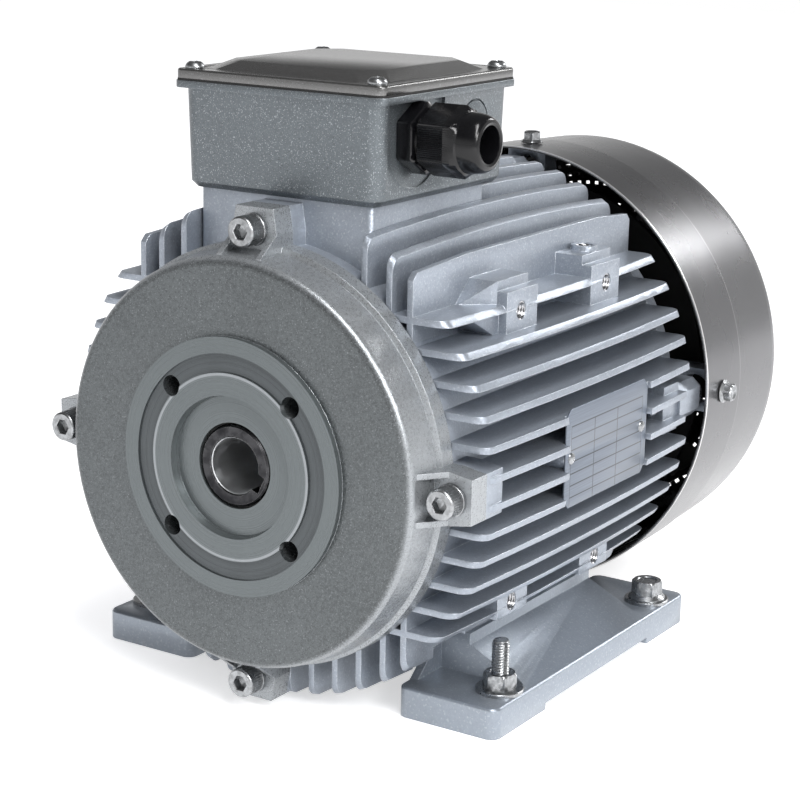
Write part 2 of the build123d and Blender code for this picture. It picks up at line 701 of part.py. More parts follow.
# Rear end shield: dished disc with lugs over the frame and arms that carry the fan cover
with BuildPart() as rear_end_shield:
    rim_rear = FRAME_REAR + SHIELD_RIM_W
    hub_rear = REAR_BEARING_Y + REAR_BEARING_W + HUB_WALL - 2
    with BuildSketch(meridian(90)):
        Polygon(
            (FRAME_REAR - REGISTER_L + RUN_GAP, REGISTER_R - SHIELD_WALL),
            (FRAME_REAR - REGISTER_L + RUN_GAP, REGISTER_R - SEAT_GAP),
            (FRAME_REAR, REGISTER_R - SEAT_GAP),
            (FRAME_REAR, ROOT_R),
            (rim_rear, ROOT_R),
            (rim_rear + 2, ROOT_R - 6),
            (hub_rear - 6, REAR_BEARING_R + HUB_WALL + 4),
            (hub_rear, REAR_BEARING_R + HUB_WALL - 3),
            (hub_rear, REAR_JOURNAL_R + RUN_GAP),
            (REAR_BEARING_Y + REAR_BEARING_W, REAR_JOURNAL_R + RUN_GAP),
            (REAR_BEARING_Y + REAR_BEARING_W, REAR_BEARING_R),
            (REAR_BEARING_Y, REAR_BEARING_R),
            (REAR_BEARING_Y, REAR_BEARING_R + HUB_WALL),
            (hub_rear - 6 - SHIELD_WALL, REAR_BEARING_R + HUB_WALL + 4),
            (rim_rear - 4, REGISTER_R - SHIELD_WALL),
            align=None,
        )
    revolve(axis=AXIS_Y)
    with BuildSketch(across(REAR_LUG_REAR)):
        with PolarLocations(0, 4):
            Polygon(
                (ROOT_R + RUN_GAP, -REAR_LUG_HALF_W),
                (REAR_LUG_R - 4, -REAR_LUG_HALF_W),
                (REAR_LUG_R, -REAR_LUG_HALF_W + 4),
                (REAR_LUG_R, REAR_LUG_HALF_W - 4),
                (REAR_LUG_R - 4, REAR_LUG_HALF_W),
                (ROOT_R + RUN_GAP, REAR_LUG_HALF_W),
                align=None,
            )
    extrude(amount=REAR_LUG_REAR - REAR_LUG_FRONT)
    with BuildSketch(across(ARM_REAR)):
        with PolarLocations(0, 4):
            with Locations(((ARM_IN_R + ROOT_R) / 2, 0)):
                Rectangle(ROOT_R - ARM_IN_R, 2 * ARM_HALF_W)
    extrude(amount=ARM_REAR - FRAME_REAR - 2)
    with BuildSketch(across(REAR_LUG_REAR)):
        with PolarLocations(0, 4):
            with Locations((ROOT_R, 0)):
                Rectangle(8, 2 * REAR_LUG_HALF_W)
    extrude(amount=REAR_LUG_REAR - FRAME_REAR)
    with BuildSketch(across(ARM_REAR)):
        with PolarLocations(0, 4):
            with Locations(((ARM_IN_R + COVER_RIM_R - COVER_T - 0.1) / 2, 0)):
                Rectangle(COVER_RIM_R - COVER_T - 0.1 - ARM_IN_R, 2 * ARM_HALF_W)
    extrude(amount=ARM_REAR - ARM_FRONT)
    # The arm ends follow the inside of the fan cover
    with BuildSketch(across(ARM_REAR)):
        Circle(COVER_RIM_R + 20)
        Circle(COVER_RIM_R - COVER_T - 1.0, mode=Mode.SUBTRACT)
    extrude(amount=ARM_REAR - ARM_FRONT, mode=Mode.SUBTRACT)
    with Locations(across(ARM_FRONT)):
        with PolarLocations(REAR_SCREW_R, 4):
            Hole(ACCESS_R, depth=ARM_REAR - ARM_FRONT)
    with Locations(across(REAR_LUG_FRONT)):
        with PolarLocations(REAR_SCREW_R, 4):
            Hole(M8_R + SCREW_GAP, depth=REAR_LUG_REAR - REAR_LUG_FRONT)
    for angle in STATIONS.values():
        turn = radians(angle)
        tip = COVER_RIM_R - COVER_T
        spot = (tip * cos(turn), COVER_SCREW_Y, SHAFT_H + tip * sin(turn))
        with Locations(Plane(origin=spot, x_dir=(0, 1, 0), z_dir=(cos(turn), 0, sin(turn)))):
            Hole(M5_R + THREAD_GAP, depth=6)
rear_end_shield.part.label = "rear_end_shield"
export_step(rear_end_shield.part, "parts/rear_end_shield.step")

# Terminal box: drafted casting on a bevelled foot, with a gland pad and knock-outs in its sides
with BuildPart() as terminal_box:
    with BuildSketch(Plane.XY.offset(BOX_RIM_Z)):
        with Locations((0, BOX_MID_Y)):
            RectangleRounded(2 * BOX_HALF_W, BOX_L, BOX_CORNER_R)
    extrude(amount=-(BOX_RIM_Z - NECK_TOP - BOX_FOOT), taper=BOX_DRAFT)
    foot_face = terminal_box.faces().sort_by(Axis.Z)[0]
    extrude(foot_face, amount=BOX_FOOT, taper=45)
    with BuildSketch(Plane.XY.offset(BOX_RIM_Z)):
        with Locations((0, RIM_MID_Y)):
            RectangleRounded(2 * RIM_HALF_W, RIM_L, RIM_CORNER_R)
    extrude(amount=RIM_T)
    with BuildSketch(Plane.XY.offset(NECK_TOP + BOX_FLOOR)):
        with Locations((0, BOX_MID_Y)):
            Rectangle(2 * (BOX_HALF_W - BOX_WALL - 1.5), BOX_L - 2 * BOX_WALL - 3)
        with Locations(*LID_SCREWS.values()):
            Rectangle(POST_W, POST_W, mode=Mode.SUBTRACT)
    extrude(amount=BOX_RIM_Z + RIM_T - NECK_TOP - BOX_FLOOR, mode=Mode.SUBTRACT)
    with BuildSketch(Plane.XY.offset(NECK_TOP)):
        with Locations((0, BOX_MID_Y)):
            Rectangle(DUCT_W, DUCT_L)
    extrude(amount=BOX_FLOOR, mode=Mode.SUBTRACT)
    for sign in SIDES.values():
        wall_x = BOX_HALF_W - GLAND_PAD_D - 0.6
        wall = Plane(origin=(sign * wall_x, 0, GLAND_Z), x_dir=(0, 1, 0), z_dir=(sign, 0, 0))
        with BuildSketch(wall):
            with Locations((GLAND_Y, 0)):
                Circle(GLAND_PAD_R)
            with Locations((GLAND_Y, 10)):
                Rectangle(2 * GLAND_PAD_R, 20)
            with Locations((GLAND_Y, 30)):
                Rectangle(60, 2 * (30 - BOX_RIM_Z + GLAND_Z), mode=Mode.SUBTRACT)
        extrude(amount=5, mode=Mode.SUBTRACT)
        with BuildSketch(wall.offset(0.6)):
            with Locations((KNOCKOUT_Y, 0)):
                Circle(KNOCKOUT_R)
                Circle(KNOCKOUT_R - KNOCKOUT_RING, mode=Mode.SUBTRACT)
        extrude(amount=5, mode=Mode.SUBTRACT)
    with Locations(Plane(origin=(BOX_HALF_W, GLAND_Y, GLAND_Z), z_dir=(1, 0, 0))):
        Hole(GLAND_R + SEAT_GAP, depth=12)
    with Locations(Plane.XY.offset(BOX_RIM_Z + RIM_T)):
        with Locations(*LID_SCREWS.values()):
            Hole(M4_R + THREAD_GAP, depth=12)
terminal_box.part.label = "terminal_box"
export_step(terminal_box.part, "parts/terminal_box.step")

with BuildPart() as lid_gasket:
    with BuildSketch(Plane.XY.offset(BOX_RIM_Z + RIM_T)):
        with Locations((0, RIM_MID_Y)):
            RectangleRounded(2 * (RIM_HALF_W - GASKET_INSET), RIM_L - 2 * GASKET_INSET, 4.0)
            Rectangle(2 * (BOX_HALF_W - 10), BOX_L - 20, mode=Mode.SUBTRACT)
        with Locations(*LID_SCREWS.values()):
            Circle(M4_R + SCREW_GAP, mode=Mode.SUBTRACT)
    extrude(amount=GASKET_T)
lid_gasket.part.label = "lid_gasket"
export_step(lid_gasket.part, "parts/lid_gasket.step")

# Lid: flat border with a bevelled crown, its corners cut back round the screws
with BuildPart() as box_lid:
    with BuildSketch(Plane.XY.offset(LID_Z)):
        with Locations((0, RIM_MID_Y)):
            RectangleRounded(
                2 * (RIM_HALF_W - LID_INSET),
                RIM_L - 2 * LID_INSET,
                RIM_CORNER_R - LID_INSET,
            )
    extrude(amount=LID_T)
    chamfer(box_lid.faces().sort_by(Axis.Z)[-1].edges(), length=LID_EDGE)
    for height, inset in ((0, CROWN_BORDER), (LID_CROWN, CROWN_BORDER + CROWN_SLOPE)):
        with BuildSketch(Plane.XY.offset(LID_TOP + height)) as crown:
            with Locations((0, RIM_MID_Y)):
                Rectangle(2 * (RIM_HALF_W - inset), RIM_L - 2 * inset)
            chamfer(crown.vertices(), length=CROWN_CUT)
    loft()
    with BuildSketch(Plane.XY.offset(LID_Z)):
        with Locations((0, BOX_MID_Y)):
            Rectangle(2 * (BOX_HALF_W - 20), BOX_L - 40)
    extrude(amount=LID_T - LID_SKIN, mode=Mode.SUBTRACT)
    with Locations(Plane.XY.offset(LID_TOP)):
        with Locations(*LID_SCREWS.values()):
            Hole(M4_R + SCREW_GAP, depth=LID_T)
box_lid.part.label = "box_lid"
export_step(box_lid.part, "parts/box_lid.step")

for node, (x, y) in LID_SCREWS.items():
    with BuildPart() as lid_screw:
        with BuildSketch(Plane(origin=(x, y, LID_TOP), x_dir=(1, 0, 0), z_dir=(0, -1, 0))):
            with BuildLine():
                Polyline((0.8, M4_HEAD_H), (0, M4_HEAD_H), (0, 0), (M4_HEAD_R, 0), (M4_HEAD_R, 0.6))
                ThreePointArc(
                    (M4_HEAD_R, 0.6),
                    (M4_HEAD_R * 0.76, M4_HEAD_H * 0.72),
                    (0.8, M4_HEAD_H),
                )
            make_face()
        revolve(axis=Axis((x, y, LID_TOP), (0, 0, 1)))
        with BuildSketch(Plane.XY.offset(LID_TOP)):
            with Locations((x, y)):
                Circle(M4_R)
        extrude(amount=-(LID_T + GASKET_T + 10))
    lid_screw.part.label = f"lid_screw_{node}"
    export_step(lid_screw.part, f"parts/lid_screw_{node}.step")

# Terminal block with barriers, and its brass studs on linking bars
with BuildPart() as terminal_block:
    with BuildSketch(Plane.XY.offset(NECK_TOP + BOX_FLOOR)):
        with Locations((0, BOX_MID_Y)):
            RectangleRounded(BLOCK_PLATE[0], BLOCK_PLATE[1], 3)
    extrude(amount=BLOCK_PLATE[2])
    with BuildSketch(Plane.XY.offset(BLOCK_TOP)):
        with Locations((0, BOX_MID_Y)):
            with GridLocations(TERMINAL_PITCH, 1, 4, 1):
                Rectangle(BARRIER_T, BLOCK_PLATE[1])
    extrude(amount=BARRIER_H)
terminal_block.part.label = "terminal_block"
export_step(terminal_block.part, "parts/terminal_block.step")

for index, x in enumerate((-TERMINAL_PITCH, 0.0, TERMINAL_PITCH), start=1):
    with BuildPart() as terminal_link:
        with BuildSketch(Plane.XY.offset(BLOCK_TOP)):
            with Locations((x, BOX_MID_Y)):
                RectangleRounded(LINK_SIZE[0], LINK_SIZE[1], 3)
        extrude(amount=LINK_SIZE[2])
        with BuildSketch(Plane.XY.offset(BLOCK_TOP + LINK_SIZE[2])):
            with Locations((x, BOX_MID_Y)):
                with GridLocations(1, LINK_STUDS_APART, 1, 2):
                    RegularPolygon(radius=LINK_NUT_AF / 2, side_count=6, major_radius=False)
        extrude(amount=LINK_NUT_H)
        with BuildSketch(Plane.XY.offset(BLOCK_TOP + LINK_SIZE[2] + LINK_NUT_H)):
            with Locations((x, BOX_MID_Y)):
                with GridLocations(1, LINK_STUDS_APART, 1, 2):
                    Circle(M5_R)
        extrude(amount=LINK_STUD_H)
    terminal_link.part.label = f"terminal_link_{index}"
    export_step(terminal_link.part, f"parts/terminal_link_{index}.step")

# Cable gland, axis along +X through the right wall of the box
GLAND_X = BOX_HALF_W - GLAND_PAD_D - 0.6


def gland_plane(x):
    """Plane across the gland at this x, its normal facing out of the box."""
    return Plane(origin=(x, GLAND_Y, GLAND_Z), x_dir=(0, 1, 0), z_dir=(1, 0, 0))


with BuildPart() as gland_body:
    with BuildSketch(gland_plane(GLAND_X)):
        RegularPolygon(radius=GLAND_AF / 2, side_count=6, major_radius=False, rotation=30)
        Circle(GLAND_AF / 2 + CAP_CORNER, mode=Mode.INTERSECT)
    extrude(amount=GLAND_HEX_L)
    with BuildSketch(gland_plane(GLAND_X + GLAND_HEX_L)):
        Circle(GLAND_R)
    extrude(amount=GLAND_NECK_L + CAP_L * 0.5)
    with BuildSketch(gland_plane(GLAND_X)):
        Circle(GLAND_R)
    extrude(amount=-GLAND_THREAD_L)
    with Locations(gland_plane(GLAND_X + GLAND_HEX_L + GLAND_NECK_L + CAP_L * 0.5)):
        Hole(CAP_MOUTH_R + 1.4, depth=60)
gland_body.part.label = "gland_body"
export_step(gland_body.part, "parts/gland_body.step")

CAP_X = GLAND_X + GLAND_HEX_L + GLAND_NECK_L
with BuildPart() as gland_cap_nut:
    with BuildSketch(gland_plane(CAP_X)):
        RegularPolygon(radius=GLAND_AF / 2, side_count=6, major_radius=False, rotation=30)
    extrude(amount=CAP_L)
    with BuildSketch(Plane(origin=(CAP_X, GLAND_Y, GLAND_Z), x_dir=(1, 0, 0), z_dir=(0, -1, 0))):
        with BuildLine():
            Line((0, 0), (0, GLAND_AF / 2 + CAP_CORNER))
            Line((0, GLAND_AF / 2 + CAP_CORNER), (CAP_L - 1, GLAND_AF / 2 + CAP_CORNER))
            Line((CAP_L - 1, GLAND_AF / 2 + CAP_CORNER), (CAP_L + 1.0, GLAND_AF / 2 - CAP_SHOULDER))
            ThreePointArc(
                (CAP_L + 1.0, GLAND_AF / 2 - CAP_SHOULDER),
                (CAP_L + CAP_DOME_L * 0.75, GLAND_AF / 2 - CAP_ROUND),
                (CAP_L + CAP_DOME_L, CAP_MOUTH_R + CAP_LIP),
            )
            Line((CAP_L + CAP_DOME_L, CAP_MOUTH_R + CAP_LIP), (CAP_L + CAP_DOME_L, 0))
            Line((CAP_L + CAP_DOME_L, 0), (0, 0))
        make_face()
    revolve(axis=Axis((0, GLAND_Y, GLAND_Z), (1, 0, 0)), mode=Mode.INTERSECT)
    with BuildSketch(Plane(origin=(CAP_X, GLAND_Y, GLAND_Z), x_dir=(1, 0, 0), z_dir=(0, -1, 0))):
        with BuildLine():
            Polyline((CAP_L - 2, 0), (CAP_L - 2, GLAND_AF / 2 - CAP_SHOULDER), (CAP_L + 1, GLAND_AF / 2 - CAP_SHOULDER))
            ThreePointArc(
                (CAP_L + 1.0, GLAND_AF / 2 - CAP_SHOULDER),
                (CAP_L + CAP_DOME_L * 0.75, GLAND_AF / 2 - CAP_ROUND),
                (CAP_L + CAP_DOME_L, CAP_MOUTH_R + CAP_LIP),
            )
            Polyline((CAP_L + CAP_DOME_L, CAP_MOUTH_R + CAP_LIP), (CAP_L + CAP_DOME_L, 0), (CAP_L - 2, 0))
        make_face()
    revolve(axis=Axis((0, GLAND_Y, GLAND_Z), (1, 0, 0)))
    with Locations(gland_plane(CAP_X + CAP_L + CAP_DOME_L)):
        Hole(CAP_MOUTH_R, depth=60)
    with BuildSketch(gland_plane(CAP_X)):
        Circle(GLAND_R + RUN_GAP)
    extrude(amount=CAP_L * 0.5 + 6, mode=Mode.SUBTRACT)
gland_cap_nut.part.label = "gland_cap_nut"
export_step(gland_cap_nut.part, "parts/gland_cap_nut.step")

with BuildPart() as gland_seal:
    with BuildSketch(gland_plane(CAP_X + CAP_L * 0.5 + 0.3)):
        Circle(GLAND_R - 1)
        Circle(CAP_MOUTH_R - 0.8, mode=Mode.SUBTRACT)
    extrude(amount=SEAL_L)
gland_seal.part.label = "gland_seal"
export_step(gland_seal.part, "parts/gland_seal.step")

with BuildPart() as gland_locknut:
    with BuildSketch(gland_plane(BOX_HALF_W - BOX_WALL - 1.5)):
        RegularPolygon(radius=GLAND_AF / 2, side_count=6, major_radius=False)
        Circle(GLAND_R + THREAD_GAP, mode=Mode.SUBTRACT)
    extrude(amount=-LOCKNUT_T)
gland_locknut.part.label = "gland_locknut"
export_step(gland_locknut.part, "parts/gland_locknut.step")

# Hollow shaft: stepped and turned, bored and keyed at the driving end
with BuildPart() as hollow_shaft:
    front_shoulder = FRONT_BEARING_Y + FRONT_BEARING_W
    rear_shoulder = REAR_BEARING_Y
    with BuildSketch(meridian(90)):
        Polygon(
            (SHAFT_END, 0),
            (SHAFT_END, FRONT_JOURNAL_R - 0.8),
            (SHAFT_END + 0.8, FRONT_JOURNAL_R),
            (front_shoulder, FRONT_JOURNAL_R),
            (front_shoulder, COLLAR_R),
            (CORE_FRONT - 2, COLLAR_R),
            (CORE_FRONT - 2, CORE_SEAT_R),
            (CORE_REAR + 2, CORE_SEAT_R),
            (CORE_REAR + 2, REAR_COLLAR_R),
            (rear_shoulder, REAR_COLLAR_R),
            (rear_shoulder, REAR_JOURNAL_R),
            (FAN_FRONT, REAR_JOURNAL_R),
            (FAN_FRONT, FAN_SEAT_R),
            (FAN_HUB_REAR, FAN_SEAT_R),
            (FAN_HUB_REAR, FAN_SEAT_R - 0.8),
            (FAN_HUB_REAR + CIRCLIP_T, FAN_SEAT_R - 0.8),
            (FAN_HUB_REAR + CIRCLIP_T, FAN_SEAT_R),
            (SHAFT_REAR_END, FAN_SEAT_R),
            (SHAFT_REAR_END, 0),
            align=None,
        )
    revolve(axis=AXIS_Y)
    with Locations(across(SHAFT_END)):
        Hole(SHAFT_BORE_R, depth=SHAFT_BORE_L)
    chamfer(
        hollow_shaft.edges().filter_by(GeomType.CIRCLE).group_by(Axis.Y)[0].sort_by(SortBy.RADIUS)[0],
        length=0.8,
    )
    key_plane = Plane(
        origin=(0, SHAFT_END + SHAFT_BORE_L, SHAFT_H),
        x_dir=(cos(radians(KEY_ANGLE)), 0, sin(radians(KEY_ANGLE))),
        z_dir=(0, -1, 0),
    )
    with BuildSketch(key_plane):
        with Locations(((SHAFT_BORE_R + KEY_D) / 2, 0)):
            Rectangle(SHAFT_BORE_R + KEY_D, KEY_W)
    extrude(amount=SHAFT_BORE_L, mode=Mode.SUBTRACT)
hollow_shaft.part.label = "hollow_shaft"
export_step(hollow_shaft.part, "parts/hollow_shaft.step")

# Rotor core with its cast cage rings
with BuildPart() as rotor_core:
    with BuildSketch(across(CORE_REAR)):
        Circle(ROTOR_R)
        Circle(CORE_SEAT_R, mode=Mode.SUBTRACT)
    extrude(amount=CORE_REAR - CORE_FRONT)
    with BuildSketch(across(CORE_REAR + CAGE_L)):
        Circle(CAGE_OUT_R)
        Circle(CAGE_IN_R, mode=Mode.SUBTRACT)
    extrude(amount=CORE_REAR - CORE_FRONT + 2 * CAGE_L)
rotor_core.part.label = "rotor_core"
export_step(rotor_core.part, "parts/rotor_core.step")

# Stator core with open slots towards the air gap
with BuildPart() as stator_core:
    with BuildSketch(across(CORE_REAR)):
        Circle(BORE_R - SEAT_GAP)
        Circle(STATOR_ID_R, mode=Mode.SUBTRACT)
        with PolarLocations(STATOR_ID_R + 9, SLOT_N):
            Rectangle(16, 3.4, mode=Mode.SUBTRACT)
    extrude(amount=CORE_REAR - CORE_FRONT)
stator_core.part.label = "stator_core"
export_step(stator_core.part, "parts/stator_core.step")

for node, front, rear in (
    ("winding_front", CORE_FRONT - WIND_FRONT_L, CORE_FRONT),
    ("winding_rear", CORE_REAR, CORE_REAR + WIND_REAR_L),
):
    with BuildPart() as winding:
        with BuildSketch(across(rear)):
            Circle(WIND_OUT_R)
            Circle(WIND_IN_R, mode=Mode.SUBTRACT)
        extrude(amount=rear - front)
        fillet(winding.edges().filter_by(GeomType.CIRCLE), radius=4.0)
    winding.part.label = node
    export_step(winding.part, f"parts/{node}.step")

# Bearings: shielded outer ring and inner ring at each end
for end, y, width, outer, journal in (
    ("front", FRONT_BEARING_Y, FRONT_BEARING_W, FRONT_BEARING_R, FRONT_JOURNAL_R),
    ("rear", REAR_BEARING_Y, REAR_BEARING_W, REAR_BEARING_R, REAR_JOURNAL_R),
):
    inner_ring = ring(journal, journal + RACE_T, y, y + width)
    outer_ring = ring(journal + RACE_T + RUN_GAP, outer - SEAT_GAP, y, y + width)
    inner_ring.label = f"{end}_bearing_inner_ring"
    outer_ring.label = f"{end}_bearing_outer_ring"
    export_step(inner_ring, f"parts/{end}_bearing_inner_ring.step")
    export_step(outer_ring, f"parts/{end}_bearing_outer_ring.step")

front_oil_seal = ring(FRONT_JOURNAL_R + RUN_GAP, SEAL_R - SEAT_GAP, SEAL_Y, SEAL_Y + SEAL_W)
front_oil_seal.label = "front_oil_seal"
export_step(front_oil_seal, "parts/front_oil_seal.step")

# Cooling fan: hub, dished back plate and straight blades for either direction of turning
with BuildPart() as cooling_fan:
    with BuildSketch(across(FAN_HUB_REAR)):
        Circle(FAN_HUB_R)
    extrude(amount=FAN_HUB_REAR - FAN_FRONT)
    with BuildSketch(meridian(90)):
        Polygon(
            (FAN_FRONT, FAN_SEAT_R + 2),
            (FAN_FRONT, FAN_HUB_R),
            (FAN_FRONT + 8, FAN_TIP_R * 0.75),
            (FAN_FRONT + 8, FAN_PLATE_R),
            (FAN_FRONT + 11, FAN_PLATE_R),
            (FAN_FRONT + 11, FAN_TIP_R * 0.75),
            (FAN_FRONT + 4, FAN_HUB_R),
            (FAN_FRONT + 4, FAN_SEAT_R + 2),
            align=None,
        )
    revolve(axis=AXIS_Y)
    for index in range(FAN_BLADES):
        with BuildSketch(meridian(index * 360 / FAN_BLADES + 11)):
            Polygon(
                (FAN_FRONT + 2, FAN_HUB_R - 3),
                (FAN_FRONT + 9, FAN_TIP_R * 0.75),
                (FAN_FRONT + 9.5, FAN_TIP_R),
                (FAN_REAR, FAN_TIP_R),
                (FAN_REAR - 4, FAN_TIP_R * 0.6),
                (FAN_HUB_REAR - 2, FAN_HUB_R - 3),
                align=None,
            )
        extrude(amount=BLADE_T / 2, both=True)
    with Locations(across(FAN_FRONT)):
        Hole(FAN_SEAT_R + SEAT_GAP)
cooling_fan.part.label = "cooling_fan"
export_step(cooling_fan.part, "parts/cooling_fan.step")

fan_circlip = ring(
    FAN_SEAT_R - 0.7,
    FAN_SEAT_R + 2.5,
    FAN_HUB_REAR + SEAT_GAP,
    FAN_HUB_REAR + CIRCLIP_T - SEAT_GAP,
)
fan_circlip.label = "fan_circlip"
export_step(fan_circlip, "parts/fan_circlip.step")

# Fan cover: thin drafted shell with a rolled front rim, a pressed step and a slotted back
with BuildPart() as fan_cover:
    with BuildSketch(meridian(90)):
        with BuildLine():
            shell = FilletPolyline(
                (COVER_FRONT, COVER_RIM_R),
                (COVER_STEP_Y - 0.5, COVER_RIM_R - 1.0),
                (COVER_STEP_Y + 0.5, COVER_RIM_R - 1.0 - COVER_STEP),
                (COVER_TAIL_Y, COVER_TAIL_R),
                (COVER_REAR, COVER_TAIL_R - 1.0),
                (COVER_REAR, 0),
                radius=(0.2, 0.2, 4.0, COVER_CORNER - 2),
            )
            Polyline(shell @ 1, (COVER_FRONT, 0), shell @ 0)
        make_face()
    revolve(axis=AXIS_Y)
    with BuildSketch(meridian(90)):
        with BuildLine():
            hollow = FilletPolyline(
                (COVER_FRONT, COVER_RIM_R - COVER_T),
                (COVER_STEP_Y - 0.5, COVER_RIM_R - 1.0 - COVER_T),
                (COVER_STEP_Y + 0.5, COVER_RIM_R - 1.0 - COVER_STEP - COVER_T),
                (COVER_TAIL_Y, COVER_TAIL_R - COVER_T),
                (COVER_REAR - COVER_T, COVER_TAIL_R - 1.0 - COVER_T),
                (COVER_REAR - COVER_T, 0),
                radius=(0.2, 0.2, 4.0, COVER_CORNER - 2 - COVER_T),
            )
            Polyline(hollow @ 1, (COVER_FRONT, 0), hollow @ 0)
        make_face()
    revolve(axis=AXIS_Y, mode=Mode.SUBTRACT)
    with BuildSketch(across(COVER_REAR)):
        for index in range(GRILLE_RINGS):
            ring_r = GRILLE_FIRST_R + index * GRILLE_PITCH
            with PolarLocations(ring_r, GRILLE_COUNT):
                Rectangle(GRILLE_SLOT, 2 * pi * ring_r / GRILLE_COUNT - GRILLE_WEB - 2)
    extrude(amount=2 * COVER_T, mode=Mode.SUBTRACT)
    for angle in STATIONS.values():
        turn = radians(angle)
        spot = (
            (COVER_RIM_R + 1) * cos(turn),
            COVER_SCREW_Y,
            SHAFT_H + (COVER_RIM_R + 1) * sin(turn),
        )
        with Locations(Plane(origin=spot, x_dir=(0, 1, 0), z_dir=(cos(turn), 0, sin(turn)))):
            Hole(M5_R + SCREW_GAP, depth=6)
fan_cover.part.label = "fan_cover"
export_step(fan_cover.part, "parts/fan_cover.step")

for node, angle in STATIONS.items():
    turn = radians(angle)
    spot = (COVER_RIM_R * cos(turn), COVER_SCREW_Y, SHAFT_H + COVER_RIM_R * sin(turn))
    face = Plane(origin=spot, x_dir=(0, 1, 0), z_dir=(cos(turn), 0, sin(turn)))
    with BuildPart() as cover_screw:
        with BuildSketch(face):
            Circle(M5_FLANGE_R)
        extrude(amount=M5_FLANGE_T)
        with BuildSketch(face.offset(M5_FLANGE_T)):
            RegularPolygon(radius=M5_HEX_AF / 2, side_count=6, major_radius=False)
        extrude(amount=M5_HEX_H)
        with BuildSketch(face):
            Circle(M5_R)
        extrude(amount=-6)
    cover_screw.part.label = f"cover_screw_{node}"
    export_step(cover_screw.part, f"parts/cover_screw_{node}.step")

# Shield screws at the driving end, and at the fan end turned to face rearward
for node, angle in STATIONS.items():
    front_screw = cap_screw(seat(LUG_FRONT, LUG_SCREW_R, angle), 22.0, M8_WASHER_T)
    front_screw.label = f"front_shield_screw_{node}"
    export_step(front_screw, f"parts/front_shield_screw_{node}.step")
    turn = radians(angle)
    rear_face = Plane(
        origin=(REAR_SCREW_R * cos(turn), REAR_LUG_REAR, SHAFT_H + REAR_SCREW_R * sin(turn)),
        x_dir=(cos(turn), 0, sin(turn)),
        z_dir=(0, 1, 0),
    )
    rear_screw = cap_screw(rear_face, REAR_LUG_REAR - REAR_LUG_FRONT + FRAME_REAR_LUG_L + 5.0)
    rear_screw.label = f"rear_shield_screw_{node}"
    export_step(rear_screw, f"parts/rear_shield_screw_{node}.step")

# Feet: drafted pad, saddle with an outer slope, end webs, relieved underside
with BuildPart() as right_foot:
    foot_mid = ((PAD_IN_X + FOOT_OUT_X) / 2, (FOOT_FRONT + FOOT_REAR) / 2)
    with BuildSketch(Plane.XY):
        with Locations(foot_mid):
            RectangleRounded(FOOT_OUT_X - PAD_IN_X, FOOT_REAR - FOOT_FRONT, FOOT_CORNER_R)
    extrude(amount=FOOT_T)
    chamfer(right_foot.faces().sort_by(Axis.Z)[-1].edges(), length=FOOT_EDGE)
    with BuildSketch(Plane(origin=(0, SADDLE_REAR, 0), x_dir=(1, 0, 0), z_dir=(0, -1, 0))):
        Polygon(
            (PAD_IN_X, FOOT_T / 2),
            (FOOT_OUT_X, FOOT_T / 2),
            (FOOT_OUT_X, FOOT_T - 1),
            (SADDLE_X, SADDLE_TOP - SADDLE_STEP),
            (SADDLE_X, SADDLE_TOP),
            (PAD_IN_X, SADDLE_TOP),
            align=None,
        )
    extrude(amount=SADDLE_REAR - SADDLE_FRONT)
    with BuildSketch(Plane.YZ.offset(PAD_IN_X)):
        Polygon(
            (SADDLE_FRONT - FOOT_WEB_L, FOOT_T - 1),
            (SADDLE_FRONT, SADDLE_TOP - 3),
            (SADDLE_REAR, SADDLE_TOP - 3),
            (SADDLE_REAR + FOOT_WEB_L, FOOT_T - 1),
            align=None,
        )
    extrude(amount=FOOT_WEB_T)
    # Spot faces that clear the washers where they reach into the slope
    with BuildSketch(Plane.XY.offset(FOOT_T)):
        with Locations((FOOT_HOLES_ACROSS / 2, 0)):
            with GridLocations(1, FOOT_HOLES_ALONG, 1, 2):
                Circle(FIXING_WASHER_R + SPOT_GAP)
    extrude(amount=SADDLE_TOP - FOOT_T, mode=Mode.SUBTRACT)
    with BuildSketch(Plane.XY):
        with Locations((foot_mid[0], (RELIEF_FRONT + RELIEF_REAR) / 2)):
            Rectangle(FOOT_OUT_X - PAD_IN_X, RELIEF_REAR - RELIEF_FRONT)
    extrude(amount=FOOT_RELIEF, mode=Mode.SUBTRACT)
    with Locations(Plane(origin=(0, 0, 0), x_dir=(1, 0, 0), z_dir=(0, 0, -1))):
        with Locations(*[(PAD_HOLE_X, -y) for y in BOSS_HOLES_Y]):
            CounterBoreHole(
                M8_R + SCREW_GAP,
                counter_bore_radius=M8_HEAD_R + 1.2,
                counter_bore_depth=SADDLE_TOP - SADDLE_TABLE,
                depth=SADDLE_TOP,
            )
        with Locations((FOOT_HOLES_ACROSS / 2, 0)):
            with GridLocations(1, FOOT_HOLES_ALONG, 1, 2):
                Hole(FOOT_HOLE_D / 2, depth=FOOT_T)
right_foot.part.label = "right_foot"
export_step(right_foot.part, "parts/right_foot.step")

with BuildPart() as left_foot:
    mirror(right_foot.part, about=Plane.YZ)
left_foot.part.label = "left_foot"
export_step(left_foot.part, "parts/left_foot.step")

